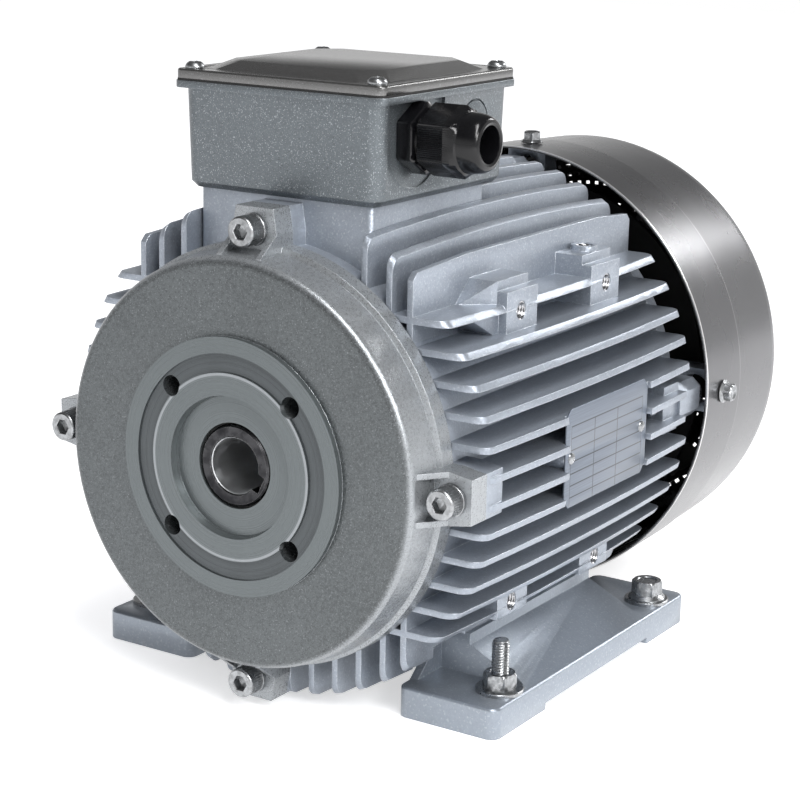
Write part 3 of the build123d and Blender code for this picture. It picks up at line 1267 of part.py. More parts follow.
# Screws from below that hold the feet, and the fixings shown standing in the foot holes
for side, sign in SIDES.items():
    for row, y in zip(("front", "rear"), BOSS_HOLES_Y):
        head_face = Plane(
            origin=(sign * PAD_HOLE_X, y, SADDLE_TOP - SADDLE_TABLE),
            x_dir=(1, 0, 0),
            z_dir=(0, 0, -1),
        )
        foot_screw = cap_screw(head_face, SADDLE_TABLE + PAD_SCREW_L)
        foot_screw.label = f"foot_screw_{row}_{side}"
        export_step(foot_screw, f"parts/foot_screw_{row}_{side}.step")

    base = Plane(origin=(sign * FOOT_HOLES_ACROSS / 2, -FOOT_HOLES_ALONG / 2, 0), z_dir=(0, 0, 1))
    with BuildPart() as stud:
        with BuildSketch(base):
            Circle(M8_R)
        extrude(amount=FOOT_T)
        with BuildSketch(base.offset(FOOT_T)):
            Circle(STUD_THREAD_R)
        extrude(amount=STUD_TOP - FOOT_T)
        chamfer(stud.faces().sort_by(Axis.Z)[-1].edges(), length=0.8)
    stud.part.label = f"stud_front_{side}"
    export_step(stud.part, f"parts/stud_front_{side}.step")

    with BuildPart() as stud_nut:
        with BuildSketch(base.offset(FOOT_T)):
            Circle(FIXING_WASHER_R)
        extrude(amount=FIXING_WASHER_T)
        with BuildSketch(base.offset(FOOT_T + FIXING_WASHER_T)):
            RegularPolygon(radius=NUT_AF / 2, side_count=6, major_radius=False)
        extrude(amount=NUT_H)
        with BuildSketch(base.offset(FOOT_T)):
            Circle(STUD_THREAD_R + THREAD_GAP)
        extrude(amount=FIXING_WASHER_T + NUT_H, mode=Mode.SUBTRACT)
    stud_nut.part.label = f"stud_nut_front_{side}"
    export_step(stud_nut.part, f"parts/stud_nut_front_{side}.step")

    rear_base = base.offset(FOOT_T)
    rear_base.origin = rear_base.origin + Vector(0, FOOT_HOLES_ALONG, 0)
    with BuildPart() as flange_bolt:
        with BuildSketch(rear_base):
            Circle(FIXING_WASHER_R)
        extrude(amount=FIXING_WASHER_T)
        with BuildSketch(rear_base.offset(FIXING_WASHER_T)):
            Circle(NUT_AF / 2 + BOLT_SKIRT_OUT)
        extrude(amount=BOLT_SKIRT_H, taper=30)
        with BuildSketch(rear_base.offset(FIXING_WASHER_T + BOLT_HEAD_LIFT)):
            RegularPolygon(radius=NUT_AF / 2, side_count=6, major_radius=False)
        extrude(amount=NUT_H + BOLT_HEAD_LIFT)
        with BuildSketch(rear_base):
            Circle(M8_R)
        extrude(amount=-FOOT_T)
    flange_bolt.part.label = f"flange_bolt_rear_{side}"
    export_step(flange_bolt.part, f"parts/flange_bolt_rear_{side}.step")

# Nameplate on the right side, held by two rivets
with BuildPart() as nameplate:
    with BuildSketch(Plane.YZ.offset(PLATE_X)):
        with Locations((PLATE_Y, SHAFT_H)):
            plate = Rectangle(PLATE_L, PLATE_H)
        chamfer(plate.vertices(), length=PLATE_CORNER)
        with Locations((PLATE_Y, SHAFT_H)):
            with GridLocations(PLATE_L - 2 * RIVET_INSET, 1, 2, 1):
                Circle(RIVET_R + THREAD_GAP, mode=Mode.SUBTRACT)
    extrude(amount=PLATE_T)
nameplate.part.label = "nameplate"
export_step(nameplate.part, "parts/nameplate.step")

for node, side in (("front", -1), ("rear", 1)):
    centre_y = PLATE_Y + side * (PLATE_L / 2 - RIVET_INSET)
    head = Plane(origin=(PLATE_X + PLATE_T, centre_y, SHAFT_H), x_dir=(0, 1, 0), z_dir=(1, 0, 0))
    with BuildPart() as rivet:
        with BuildSketch(head):
            Circle(RIVET_HEAD_R)
        extrude(amount=RIVET_HEAD_H, taper=25)
        with BuildSketch(head):
            Circle(RIVET_R)
        extrude(amount=-(PLATE_T + RIVET_L))
    rivet.part.label = f"nameplate_rivet_{node}"
    export_step(rivet.part, f"parts/nameplate_rivet_{node}.step")
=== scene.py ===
"""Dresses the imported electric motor: fasteners, cable gland, nameplate, finishes, light and camera.

Forms are sized in millimetres, and shaders and the studio in metres.
"""

import logging
import math
from collections.abc import Callable, Sequence
from dataclasses import dataclass, field
from enum import Enum

import bmesh
import bpy
from mathutils import Matrix, Vector

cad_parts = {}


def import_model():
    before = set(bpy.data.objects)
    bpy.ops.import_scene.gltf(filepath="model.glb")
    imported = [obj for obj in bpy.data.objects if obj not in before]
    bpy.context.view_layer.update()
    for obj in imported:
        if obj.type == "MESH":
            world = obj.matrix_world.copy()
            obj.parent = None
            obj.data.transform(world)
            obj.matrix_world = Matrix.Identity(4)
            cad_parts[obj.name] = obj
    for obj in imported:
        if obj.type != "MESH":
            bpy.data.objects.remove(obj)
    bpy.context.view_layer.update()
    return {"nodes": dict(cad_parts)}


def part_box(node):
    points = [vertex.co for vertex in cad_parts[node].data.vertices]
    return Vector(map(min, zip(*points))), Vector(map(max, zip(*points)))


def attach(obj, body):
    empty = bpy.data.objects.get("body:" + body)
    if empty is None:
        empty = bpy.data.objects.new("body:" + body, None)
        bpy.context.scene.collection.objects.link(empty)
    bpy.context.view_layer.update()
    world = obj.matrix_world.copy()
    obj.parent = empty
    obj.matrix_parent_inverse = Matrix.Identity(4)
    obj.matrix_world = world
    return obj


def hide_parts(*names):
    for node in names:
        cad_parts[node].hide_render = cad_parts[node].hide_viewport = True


LOG = logging.getLogger("motor")
MM = 0.001
TURN = 2 * math.pi
HOUSING = "housing"
SHAFT_Z = 112.0
STATIONS = ("right", "top", "left", "bottom")
SMOOTH_LIMIT = math.radians(32)
CAST_SMOOTH_LIMIT = math.radians(28)

RadiusLaw = Callable[[float], float]
Colour = tuple[float, float, float]
Loop = list[bmesh.types.BMVert]


class Way(Enum):
    """Directions in which a turned piece can point, as its local +Z."""

    UP = (0.0, 0.0, 1.0)
    RIGHT = (1.0, 0.0, 0.0)
    LEFT = (-1.0, 0.0, 0.0)
    DRIVE_END = (0.0, -1.0, 0.0)
    FAN_END = (0.0, 1.0, 0.0)


def circle(radius: float) -> RadiusLaw:
    """Radius law of a circle."""
    return lambda angle: radius


def hexagon(across_flats: float, corner: float = math.inf) -> RadiusLaw:
    """Radius law of a hexagon with a corner at angle 0, cut by a circle.

    Args:
        across_flats: Distance between two flats.
        corner: Radius that trims the corners.

    Returns:
        The radius at each angle.
    """

    def law(angle: float) -> float:
        offset = (angle + math.pi / 6) % (math.pi / 3) - math.pi / 6
        return min(across_flats / 2 / math.cos(math.pi / 6 - abs(offset)), corner)

    return law


def cross(arm: float, half_width: float) -> RadiusLaw:
    """Radius law of a cross recess with two arms of this reach and half width."""

    def law(angle: float) -> float:
        offset = abs((angle + math.pi / 4) % (math.pi / 2) - math.pi / 4)
        return min(arm, half_width / max(math.sin(offset), 0.02))

    return law


def fluted(base: RadiusLaw, depth: float, count: int) -> RadiusLaw:
    """Radius law of an outline with fine flutes cut into it."""
    return lambda angle: base(angle) - depth * (0.5 - 0.5 * math.cos(count * angle))


def grown(base: RadiusLaw, by: float) -> RadiusLaw:
    """Radius law of an outline moved outward by this much."""
    return lambda angle: base(angle) + by


def ring(shape: bmesh.types.BMesh, count: int, height: float, law: RadiusLaw, spin: float = 0.0) -> Loop:
    """Adds a ring of points round the Z axis.

    Args:
        shape: Mesh that gets the points.
        count: Number of points.
        height: Height of the ring.
        law: Its radius at each angle.
        spin: Turn about the axis, in radians.

    Returns:
        The points in order.
    """
    loop = []
    for index in range(count):
        angle = TURN * index / count
        radius = law(angle) * MM
        angle += spin
        loop.append(shape.verts.new((radius * math.cos(angle), radius * math.sin(angle), height * MM)))
    return loop


def skin(shape: bmesh.types.BMesh, loops: Sequence[Loop]) -> None:
    """Joins each ring to the next with a band of faces."""
    for lower, upper in zip(loops, loops[1:]):
        for index in range(len(lower)):
            shape.faces.new((lower[index - 1], lower[index], upper[index], upper[index - 1]))


@dataclass
class TurnedForm:
    """A solid built from closed rings stacked along its own Z axis.

    Attributes:
        rings: Height and radius, or radius law, of each ring in order along the surface.
        segments: Points on each ring.
        spin: Turn about the axis, in radians.
    """

    rings: Sequence[tuple[float, float | RadiusLaw]]
    segments: int = 72
    spin: float = 0.0

    def add_to(self, shape: bmesh.types.BMesh) -> None:
        """Adds the form's faces to a mesh, closing the first and last ring at the axis."""
        loops = []
        for height, size in self.rings:
            law = size if callable(size) else circle(size)
            loops.append(ring(shape, self.segments, height, law, self.spin))
        skin(shape, loops)
        for end, order in ((0, -1), (-1, 1)):
            pole = shape.verts.new((0.0, 0.0, self.rings[end][0] * MM))
            loop = loops[end]
            for first, second in zip(loop, [*loop[1:], loop[0]]):
                shape.faces.new((first, second, pole)[::order])


@dataclass
class Thread:
    """What screw threads share.

    Attributes:
        low: Height at which the thread starts.
        high: Height at which it ends.
        radius: Radius of the rod or hole.
        depth: Depth of the groove.
        pitch: Rise for each turn.
        segments: Points on each ring.
        steps: Rings for each turn.
    """

    low: float
    high: float
    radius: float
    depth: float
    pitch: float = 1.25
    segments: int = 36
    steps: int = 8

    def heights(self) -> list[float]:
        """Heights of the rings, from the low end to the high end."""
        rows = max(2, int((self.high - self.low) / self.pitch * self.steps))
        return [self.low + (self.high - self.low) * row / rows for row in range(rows + 1)]

    def ridge(self, height: float, angle: float) -> float:
        """Wave between 0 and 1 that winds up the thread."""
        phase = ((height - self.low) / self.pitch - angle / TURN) % 1.0
        return 1 - abs(2 * phase - 1)


@dataclass
class RodThread(Thread):
    """An external thread with a chamfered high end.

    Attributes:
        chamfer: How far the last turn draws in.
        flipped: Whether the two ends are exchanged.
    """

    chamfer: float = 0.6
    flipped: bool = False

    def add_to(self, shape: bmesh.types.BMesh) -> None:
        """Adds the threaded rod to a mesh, with closed ends."""
        loops = []
        for height in self.heights():
            radius = self.radius - self.chamfer * (1 - min(1.0, (self.high - height) / self.pitch))
            loops.append(ring(shape, self.segments, height,
                              lambda angle: radius - self.depth * self.ridge(height, angle)))
        skin(shape, loops)
        shape.faces.new(loops[0][::-1])
        shape.faces.new(loops[-1])
        if self.flipped:
            for loop in loops:
                for vert in loop:
                    vert.co.x, vert.co.z = -vert.co.x, (self.low + self.high) * MM - vert.co.z


@dataclass
class TappedThread(Thread):
    """The thread inside a tapped hole: a sleeve whose inner face winds up the hole.

    Attributes:
        root: Share of the depth that the grooves keep.
    """

    steps: int = 6
    root: float = 0.15

    def add_to(self, shape: bmesh.types.BMesh) -> None:
        """Adds the sleeve to a mesh as one closed band."""
        loops = [ring(shape, self.segments, height, circle(self.radius)) for height in (self.low, self.high)]
        for height in reversed(self.heights()):
            loops.append(ring(shape, self.segments, height, lambda angle: self.radius - self.depth
                              * (self.root + (1 - self.root) * self.ridge(height, angle))))
        skin(shape, [*loops, loops[0]])


@dataclass
class Canvas:
    """Adds shader nodes to one tree and links their sockets."""

    tree: bpy.types.NodeTree

    def feed(self, node: bpy.types.Node, sockets: dict) -> None:
        """Links or sets a node's inputs, by name or index."""
        for key, value in sockets.items():
            if isinstance(value, bpy.types.NodeSocket):
                self.tree.links.new(value, node.inputs[key])
            elif isinstance(value, tuple) and node.inputs[key].type == "RGBA":
                node.inputs[key].default_value = (*value[:3], 1.0)
            else:
                node.inputs[key].default_value = value

    def add(self, kind: str, sockets: dict | None = None, **settings: object) -> bpy.types.Node:
        """Adds a node.

        Args:
            kind: Blender's name for the node.
            sockets: Values or links for its inputs, by name or index.
            settings: Attributes to set on the node.

        Returns:
            The new node.
        """
        node = self.tree.nodes.new(kind)
        for key, value in settings.items():
            setattr(node, key, value)
        self.feed(node, sockets or {})
        return node

    def maths(self, operation: str, *values: object) -> bpy.types.NodeSocket:
        """Adds a Math node and returns its output."""
        return self.add("ShaderNodeMath", dict(enumerate(values)), operation=operation).outputs[0]

    def plus(self, first: object, second: object) -> bpy.types.NodeSocket:
        """Adds two values."""
        return self.maths("ADD", first, second)

    def minus(self, first: object, second: object) -> bpy.types.NodeSocket:
        """Takes the second value from the first."""
        return self.maths("SUBTRACT", first, second)

    def times(self, first: object, second: object) -> bpy.types.NodeSocket:
        """Multiplies two values."""
        return self.maths("MULTIPLY", first, second)

    def most(self, first: object, second: object) -> bpy.types.NodeSocket:
        """Takes the larger of two values."""
        return self.maths("MAXIMUM", first, second)

    def above(self, first: object, second: object) -> bpy.types.NodeSocket:
        """Masks where the first value is over the second."""
        return self.maths("GREATER_THAN", first, second)

    def ramp(self, value: object, low: float, high: float, start: object = 0.0, end: object = 1.0
             ) -> bpy.types.NodeSocket:
        """Maps a value from low..high to start..end, smoothly and held at its ends."""
        sockets = {"Value": value, "From Min": low, "From Max": high, "To Min": start, "To Max": end}
        return self.add("ShaderNodeMapRange", sockets, interpolation_type="SMOOTHSTEP").outputs["Result"]

    def mix(self, share: object, first: object, second: object, kind: str = "MIX") -> bpy.types.NodeSocket:
        """Mixes two colours or normals and returns the result."""
        sockets = {0: share, 6: first, 7: second}
        return self.add("ShaderNodeMix", sockets, data_type="RGBA", blend_type=kind).outputs[2]

    def grey(self, level: object, blue: object = None) -> bpy.types.NodeSocket:
        """Makes a grey of a value, with a blue of its own where one is given."""
        sockets = {"Red": level, "Green": level, "Blue": level if blue is None else blue}
        return self.add("ShaderNodeCombineColor", sockets).outputs[0]

    def scaled(self, colour: object, factor: object) -> bpy.types.NodeSocket:
        """Multiplies a colour by a grey value."""
        return self.mix(1.0, colour, self.grey(factor), "MULTIPLY")

    def where(self) -> bpy.types.NodeSocket:
        """Position in the motor's own axes."""
        return self.add("ShaderNodeTexCoord").outputs["Object"]

    def split(self, where: object) -> bpy.types.bpy_prop_collection:
        """X, Y and Z of a position."""
        return self.add("ShaderNodeSeparateXYZ", {"Vector": where}).outputs

    def vector(self, **parts: object) -> bpy.types.NodeSocket:
        """Joins X, Y and Z into a vector."""
        return self.add("ShaderNodeCombineXYZ", parts).outputs[0]

    def noise(self, where: object, scale: object, detail: float = 2.0, rough: float = 0.55
              ) -> bpy.types.NodeSocket:
        """Noise between 0 and 1 at so many cells to the metre."""
        sockets = {"Vector": where, "Scale": scale, "Detail": detail, "Roughness": rough}
        return self.add("ShaderNodeTexNoise", sockets).outputs["Fac"]

    def bump(self, height: object, distance: float, **sockets: object) -> bpy.types.NodeSocket:
        """Turns a height into a normal."""
        sockets = {"Height": height, "Distance": distance, **sockets}
        return self.add("ShaderNodeBump", sockets).outputs["Normal"]

    def group(self, tree: bpy.types.NodeTree, **values: object) -> bpy.types.bpy_prop_collection:
        """Adds a node group with these input values and returns its outputs."""
        return self.add("ShaderNodeGroup", values, node_tree=tree).outputs

    def axis_distance(self, where: object) -> tuple[bpy.types.NodeSocket, bpy.types.NodeSocket]:
        """Distance from the shaft's axis and position along it, for each point."""
        parts = self.split(where)
        height = self.minus(parts["Z"], SHAFT_Z * MM)
        square = self.plus(self.times(parts["X"], parts["X"]), self.times(height, height))
        return self.maths("SQRT", square), parts["Y"]


@dataclass
class GroupCanvas(Canvas):
    """Builds a shader node group whose inputs are plain values.

    Attributes:
        given: The group's inputs, as outputs of its input node.
    """

    given: bpy.types.bpy_prop_collection | None = None

    @classmethod
    def start(cls, name: str, **inputs: float) -> "GroupCanvas":
        """Makes an empty group with these inputs and their defaults."""
        tree = bpy.data.node_groups.new(name, "ShaderNodeTree")
        for label, default in inputs.items():
            socket = tree.interface.new_socket(name=label, in_out="INPUT", socket_type="NodeSocketFloat")
            socket.default_value = default
        return cls(tree, tree.nodes.new("NodeGroupInput").outputs)

    def close(self, **results: bpy.types.NodeSocket) -> bpy.types.NodeTree:
        """Gives the group its outputs, each a value or a normal, and returns it."""
        for label, value in results.items():
            kind = "NodeSocketVector" if value.type == "VECTOR" else "NodeSocketFloat"
            self.tree.interface.new_socket(name=label, in_out="OUTPUT", socket_type=kind)
        self.feed(self.tree.nodes.new("NodeGroupOutput"), results)
        return self.tree


class Effects:
    """Shader node groups that several finishes share."""

    def __init__(self) -> None:
        """Builds each group once."""
        self.grain = self._grain()
        self.edges = self._edges()
        self.rings = self._rings()

    def _grain(self) -> bpy.types.NodeTree:
        """Blasted or hammered casting: bright flecks, dark pits and a fine relief."""
        canvas = GroupCanvas.start("casting_grain", Cells=900.0, Contrast=0.2)
        cells, contrast = canvas.given["Cells"], canvas.given["Contrast"]
        where = canvas.where()
        fine = canvas.noise(where, cells, 3.0)
        coarse = canvas.noise(where, canvas.times(cells, 0.3))
        large = canvas.noise(where, 22.0, 3.0)
        fleck = canvas.ramp(canvas.noise(where, canvas.times(cells, 0.8), 1.0), 0.60, 0.72)
        spread = canvas.plus(canvas.times(canvas.minus(fine, 0.5), 1.6), canvas.minus(coarse, 0.5))
        spread = canvas.plus(spread, canvas.times(canvas.minus(large, 0.5), 0.7))
        shade = canvas.plus(1.0, canvas.times(spread, contrast))
        height = canvas.plus(fine, canvas.times(coarse, 0.8))
        return canvas.close(Shade=shade, Height=height, Fleck=fleck)

    def _edges(self) -> bpy.types.NodeTree:
        """Edges worn bright, partly a painted highlight: a mask that is 1 on an outer edge and fades over
        the given width.
        """
        canvas = GroupCanvas.start("edge_wear_and_highlight", Width=0.0008)
        bevel = canvas.add("ShaderNodeBevel", {"Radius": canvas.given["Width"]}, samples=4)
        rounded = bevel.outputs["Normal"]
        flat = canvas.add("ShaderNodeNewGeometry").outputs["Normal"]
        match = canvas.add("ShaderNodeVectorMath", {0: rounded, 1: flat}, operation="DOT_PRODUCT")
        mask = canvas.ramp(match.outputs["Value"], 0.97, 0.80)
        broken = canvas.ramp(canvas.noise(canvas.where(), 260.0, 3.0), 0.35, 0.6, 0.35)
        return canvas.close(Mask=canvas.times(mask, broken), Normal=rounded)

    def _rings(self) -> bpy.types.NodeTree:
        """Turned metal: fine rings round the shaft's axis."""
        canvas = GroupCanvas.start("turning_rings", Pitch=0.0004)
        where = canvas.where()
        radius, _ = canvas.axis_distance(where)
        turns = canvas.maths("DIVIDE", radius, canvas.given["Pitch"])
        wave = canvas.maths("SINE", canvas.times(turns, TURN))
        uneven = canvas.noise(canvas.vector(X=canvas.times(radius, 2600.0)), 1.0, 4.0, 0.5)
        bands = canvas.noise(canvas.vector(X=canvas.times(radius, 520.0)), 1.0, 2.0, 0.5)
        smear = canvas.noise(where, 60.0, 3.0)
        shade = canvas.plus(canvas.times(uneven, 0.55), canvas.times(bands, 0.75))
        shade = canvas.plus(0.2, canvas.plus(shade, canvas.times(smear, 0.3)))
        height = canvas.plus(canvas.times(wave, 0.3), canvas.times(uneven, 1.2))
        return canvas.close(Shade=shade, Height=height)


@dataclass(frozen=True)
class Finish:
    """What every finish has: a name, and the start and end of building its material."""

    name: str

    def start(self) -> tuple[bpy.types.Material, Canvas]:
        """Makes a material with one Principled shader."""
        material = bpy.data.materials.new(self.name)
        material.use_nodes = True
        return material, Canvas(material.node_tree)

    def close(self, canvas: Canvas, colour: object, rough: object, normal: object, **others: object) -> None:
        """Feeds the shader.

        Args:
            canvas: Canvas on the material.
            colour: Base colour.
            rough: Roughness.
            normal: Normal.
            others: More inputs, with an underscore for each space in their names.
        """
        sockets = {"Base Color": colour, "Roughness": rough, "Normal": normal}
        sockets.update({label.replace("_", " "): value for label, value in others.items()})
        canvas.feed(canvas.tree.nodes["Principled BSDF"], sockets)


@dataclass(frozen=True)
class CastMetal(Finish):
    """Die-cast aluminium with a blasted skin and edges worn bright, partly as a painted highlight.

    Attributes:
        colour: Colour of the skin.
        polish_and_highlight: Colour where edges are worn bright and painted with a highlight, also of the
            bright flecks.
        cells: Grain cells to the metre.
        contrast: How strongly the grain shades the colour.
        relief: Depth of the grain.
        roughness: Roughness of the skin.
        edge: Width of the edge that is worn bright and painted with a highlight.
        rub_and_highlight_level: How strongly edges are worn bright and painted with a highlight.
        rub_gloss: How much smoother they are.
        fleck: Share of bright flecks in the skin.
        metallic: Share of the metal's mirror reflection.
    """

    colour: Colour = (0.30, 0.33, 0.375)
    polish_and_highlight: Colour = (0.80, 0.83, 0.87)
    cells: float = 1300.0
    contrast: float = 0.25
    relief: float = 0.00010
    roughness: float = 0.36
    edge: float = 0.00045
    rub_and_highlight_level: float = 0.7
    rub_gloss: float = 0.12
    fleck: float = 0.2
    metallic: float = 0.6

    def make(self, effects: Effects) -> bpy.types.Material:
        """Builds the material.

        Args:
            effects: The shared node groups.

        Returns:
            The finished material.
        """
        material, canvas = self.start()
        grain = canvas.group(effects.grain, Cells=self.cells, Contrast=self.contrast)
        edge = canvas.group(effects.edges, Width=self.edge)
        shade = grain["Shade"]
        flecks = canvas.times(grain["Fleck"], self.fleck)
        cast = canvas.mix(flecks, canvas.scaled(self.colour, shade), self.polish_and_highlight)
        # Edges worn bright, partly a painted highlight.
        mask = canvas.times(edge["Mask"], self.rub_and_highlight_level)
        colour = canvas.mix(mask, cast, self.polish_and_highlight)
        rough = canvas.minus(canvas.times(shade, self.roughness), canvas.times(mask, self.rub_gloss))
        normal = canvas.bump(grain["Height"], self.relief, Normal=edge["Normal"])
        look = self.worked(effects, canvas, (colour, rough, normal), shade)
        self.close(canvas, *look, Metallic=self.metallic)
        return material

    def worked(self, effects: Effects, canvas: Canvas, look: tuple, shade: object) -> tuple:
        """Colour, roughness and normal after machining, which a plain casting has none of."""
        return look


@dataclass(frozen=True)
class TurnedCasting(CastMetal):
    """The shield's casting, with painted light on its rounded outer edge and a machined flange, by distance
    from the shaft.

    Attributes:
        painted_light: Colour of the painted light on the rounded outer edge and the bevel.
        bare: Colour of the machined flange.
        groove: Colour of its turned groove.
        face_at: Start and end of the flange's face along the shaft.
        recess_at: Start and end of the recess's floor.
        recess_r: Radii between which the recess ends.
        groove_in: Radii between which the groove starts.
        groove_out: Radii between which it ends.
        bevel_in: Radii between which the bevel before it starts.
        bevel_out: Radii between which the bevel ends.
        light_band_r: Radii between which the band of painted light on the rounded outer edge starts.
        highlight_in: Radii between which its painted highlight line starts.
        highlight_out: Radii between which that line ends.
    """

    painted_light: Colour = (0.42, 0.44, 0.46)
    bare: Colour = (0.125, 0.140, 0.144)
    groove: Colour = (0.068, 0.076, 0.080)
    face_at: tuple[float, float] = (-0.1337, -0.1341)
    recess_at: tuple[float, float] = (-0.120, -0.121)
    recess_r: tuple[float, float] = (0.0312, 0.0309)
    groove_in: tuple[float, float] = (0.0402, 0.0406)
    groove_out: tuple[float, float] = (0.0488, 0.0484)
    bevel_in: tuple[float, float] = (0.0388, 0.0396)
    bevel_out: tuple[float, float] = (0.0405, 0.0402)
    light_band_r: tuple[float, float] = (0.0855, 0.0885)
    highlight_in: tuple[float, float] = (0.0862, 0.0876)
    highlight_out: tuple[float, float] = (0.0890, 0.0882)

    def worked(self, effects: Effects, canvas: Canvas, look: tuple, shade: object) -> tuple:
        """Colour, roughness and normal with the painted light on the outer edge and the flange laid over
        them.
        """
        colour, rough, normal = look
        radius, along = canvas.axis_distance(canvas.where())
        deep = canvas.times(canvas.ramp(radius, *self.recess_r), canvas.ramp(along, *self.recess_at))
        machined = canvas.most(canvas.ramp(along, *self.face_at), deep)
        rings = canvas.group(effects.rings)
        streaks = rings["Shade"]
        groove = canvas.times(canvas.ramp(radius, *self.groove_in), canvas.ramp(radius, *self.groove_out))
        bevel = canvas.times(canvas.ramp(radius, *self.bevel_out), canvas.ramp(radius, *self.bevel_in))
        bare = canvas.mix(groove, self.bare, self.groove)
        # Painted highlight: the bevel gets half of the painted light colour.
        bare = canvas.mix(canvas.times(bevel, 0.5), bare, self.painted_light)
        streak = canvas.ramp(groove, 0.0, 1.0, 0.35)
        bare = canvas.scaled(bare, canvas.plus(1.0, canvas.times(streak, canvas.minus(streaks, 1.0))))
        # Painted light: the rounded outer edge is lightened in a band, with a brighter painted highlight
        # line on it.
        fade = canvas.ramp(radius, *self.highlight_out, 0.0, 0.55)
        highlight_line = canvas.times(canvas.ramp(radius, *self.highlight_in), fade)
        rub_and_highlight = canvas.most(canvas.ramp(radius, *self.light_band_r, 0.0, 0.62), highlight_line)
        even = canvas.plus(0.72, canvas.times(shade, 0.28))
        colour = canvas.mix(rub_and_highlight, colour, canvas.scaled(self.painted_light, even))
        colour = canvas.mix(machined, colour, bare)
        rough = canvas.ramp(machined, 0.0, 1.0, rough, canvas.ramp(streaks, 0.8, 1.2, 0.24, 0.34))
        return colour, rough, canvas.mix(machined, normal, canvas.bump(rings["Height"], 0.00002))


@dataclass(frozen=True)
class PlatedSteel(Finish):
    """Zinc-plated or bare steel of fasteners and the shaft, with faint blotches.

    Attributes:
        colour: Colour of the metal.
        stain: Colour of the blotches.
        roughness: Roughness of the metal away from its blotches.
        cells: Blotches to the metre.
        bore: Radius of a bore whose wall gets a lighter colour as a painted reflection, or zero.
        edge: Width of the edge that is worn bright and painted with a highlight.
        rub_and_highlight: Colour of that edge.
        bore_reflection: Lighter colour of the bore's wall, a painted reflection.
    """

    colour: Colour
    stain: Colour
    roughness: float = 0.26
    cells: float = 500.0
    bore: float = 0.0
    edge: float = 0.0003
    rub_and_highlight: Colour = (0.85, 0.85, 0.85)
    bore_reflection: Colour = (0.50, 0.51, 0.52)

    def make(self, effects: Effects) -> bpy.types.Material:
        """Builds the material."""
        material, canvas = self.start()
        where = canvas.where()
        blotch = canvas.ramp(canvas.noise(where, self.cells, 4.0), 0.35, 0.7)
        fine = canvas.noise(where, self.cells * 5)
        edge = canvas.group(effects.edges, Width=self.edge)
        colour = canvas.mix(blotch, self.colour, self.stain)
        # Edges worn bright, partly a painted highlight.
        colour = canvas.mix(canvas.times(edge["Mask"], 0.4), colour, self.rub_and_highlight)
        rough = canvas.plus(self.roughness, canvas.times(blotch, 0.16))
        if self.bore:
            radius, _ = canvas.axis_distance(where)
            wall = canvas.ramp(radius, self.bore + 0.0004, self.bore + 0.0002)
            # Painted reflection: the bore's wall is lighter than the shaft.
            colour = canvas.mix(wall, colour, self.bore_reflection)
            rough = canvas.plus(rough, canvas.times(wall, 0.2))
        self.close(canvas, colour, rough, canvas.bump(fine, 0.00002), Metallic=1.0)
        return material


@dataclass(frozen=True)
class SheetMetal(Finish):
    """Satin-coated pressed sheet of the fan cover, with painted highlights on its rim and pressed line and
    painted shade inside.

    Attributes:
        colour: Colour of the coat.
        rim: Colour of the painted highlight along the rim and the pressed line.
        inner_shade: Colour of the painted shade on the inner side.
        rim_at: Position of the rim along the shaft.
        step_at: Position of the pressed line, along which a highlight is painted.
        wall_at: Radius half through the sheet at the rim, inside which shade is painted.
        taper: How much that radius shrinks for each metre along the shaft.
        back_at: Position half through the grille's sheet.
        corner: Radius and position of the middle of the rounded corner.
        corner_at: Radius of that corner half through the sheet.
    """

    colour: Colour = (0.118, 0.118, 0.123)
    rim: Colour = (0.80, 0.79, 0.78)
    inner_shade: Colour = (0.02, 0.02, 0.02)
    rim_at: float = 0.0925
    step_at: float = 0.13265
    wall_at: float = 0.1102
    taper: float = 0.037
    back_at: float = 0.1854
    corner: tuple[float, float] = (0.09926, 0.178)
    corner_at: float = 0.0074

    def make(self, effects: Effects) -> bpy.types.Material:
        """Builds the material."""
        material, canvas = self.start()
        where = canvas.where()
        radius, along = canvas.axis_distance(where)
        cloud = canvas.noise(where, 18.0, 4.0)
        fine = canvas.noise(where, 1500.0)
        shade = canvas.plus(canvas.plus(0.86, canvas.times(cloud, 0.2)), canvas.times(fine, 0.08))
        # Painted highlights: a bright band at the rim and a thin line along the pressed step.
        rim = canvas.ramp(along, self.rim_at + 0.0016, self.rim_at + 0.0006, 0.0, 0.85)
        near = canvas.maths("ABSOLUTE", canvas.minus(along, self.step_at))
        line = canvas.ramp(near, 0.0009, 0.0003, 0.0, 0.5)
        colour = canvas.mix(canvas.most(rim, line), canvas.scaled(self.colour, shade), self.rim)
        # Painted shade on the inner side of the sheet.
        colour = canvas.mix(self._inside(canvas, radius, along), colour, self.inner_shade)
        rough = canvas.plus(0.22, canvas.times(cloud, 0.1))
        self.close(canvas, colour, rough, canvas.bump(fine, 0.00001), Metallic=0.85)
        return material

    def _inside(self, canvas: Canvas, radius: object, along: object) -> object:
        """Masks the inner side of the sheet, where shade is painted: wall, rounded corner and back."""
        shrink = canvas.times(canvas.minus(along, self.rim_at), self.taper)
        wall = canvas.above(canvas.plus(radius, shrink), self.wall_at)
        back = canvas.above(along, self.back_at)
        out = canvas.most(canvas.minus(radius, self.corner[0]), 0.0)
        rear = canvas.most(canvas.minus(along, self.corner[1]), 0.0)
        reach = canvas.maths("SQRT", canvas.plus(canvas.times(out, out), canvas.times(rear, rear)))
        bend = canvas.times(canvas.above(reach, self.corner_at), canvas.above(rear, 0.0))
        return canvas.times(canvas.minus(1.0, canvas.most(wall, canvas.most(back, bend))), 0.85)


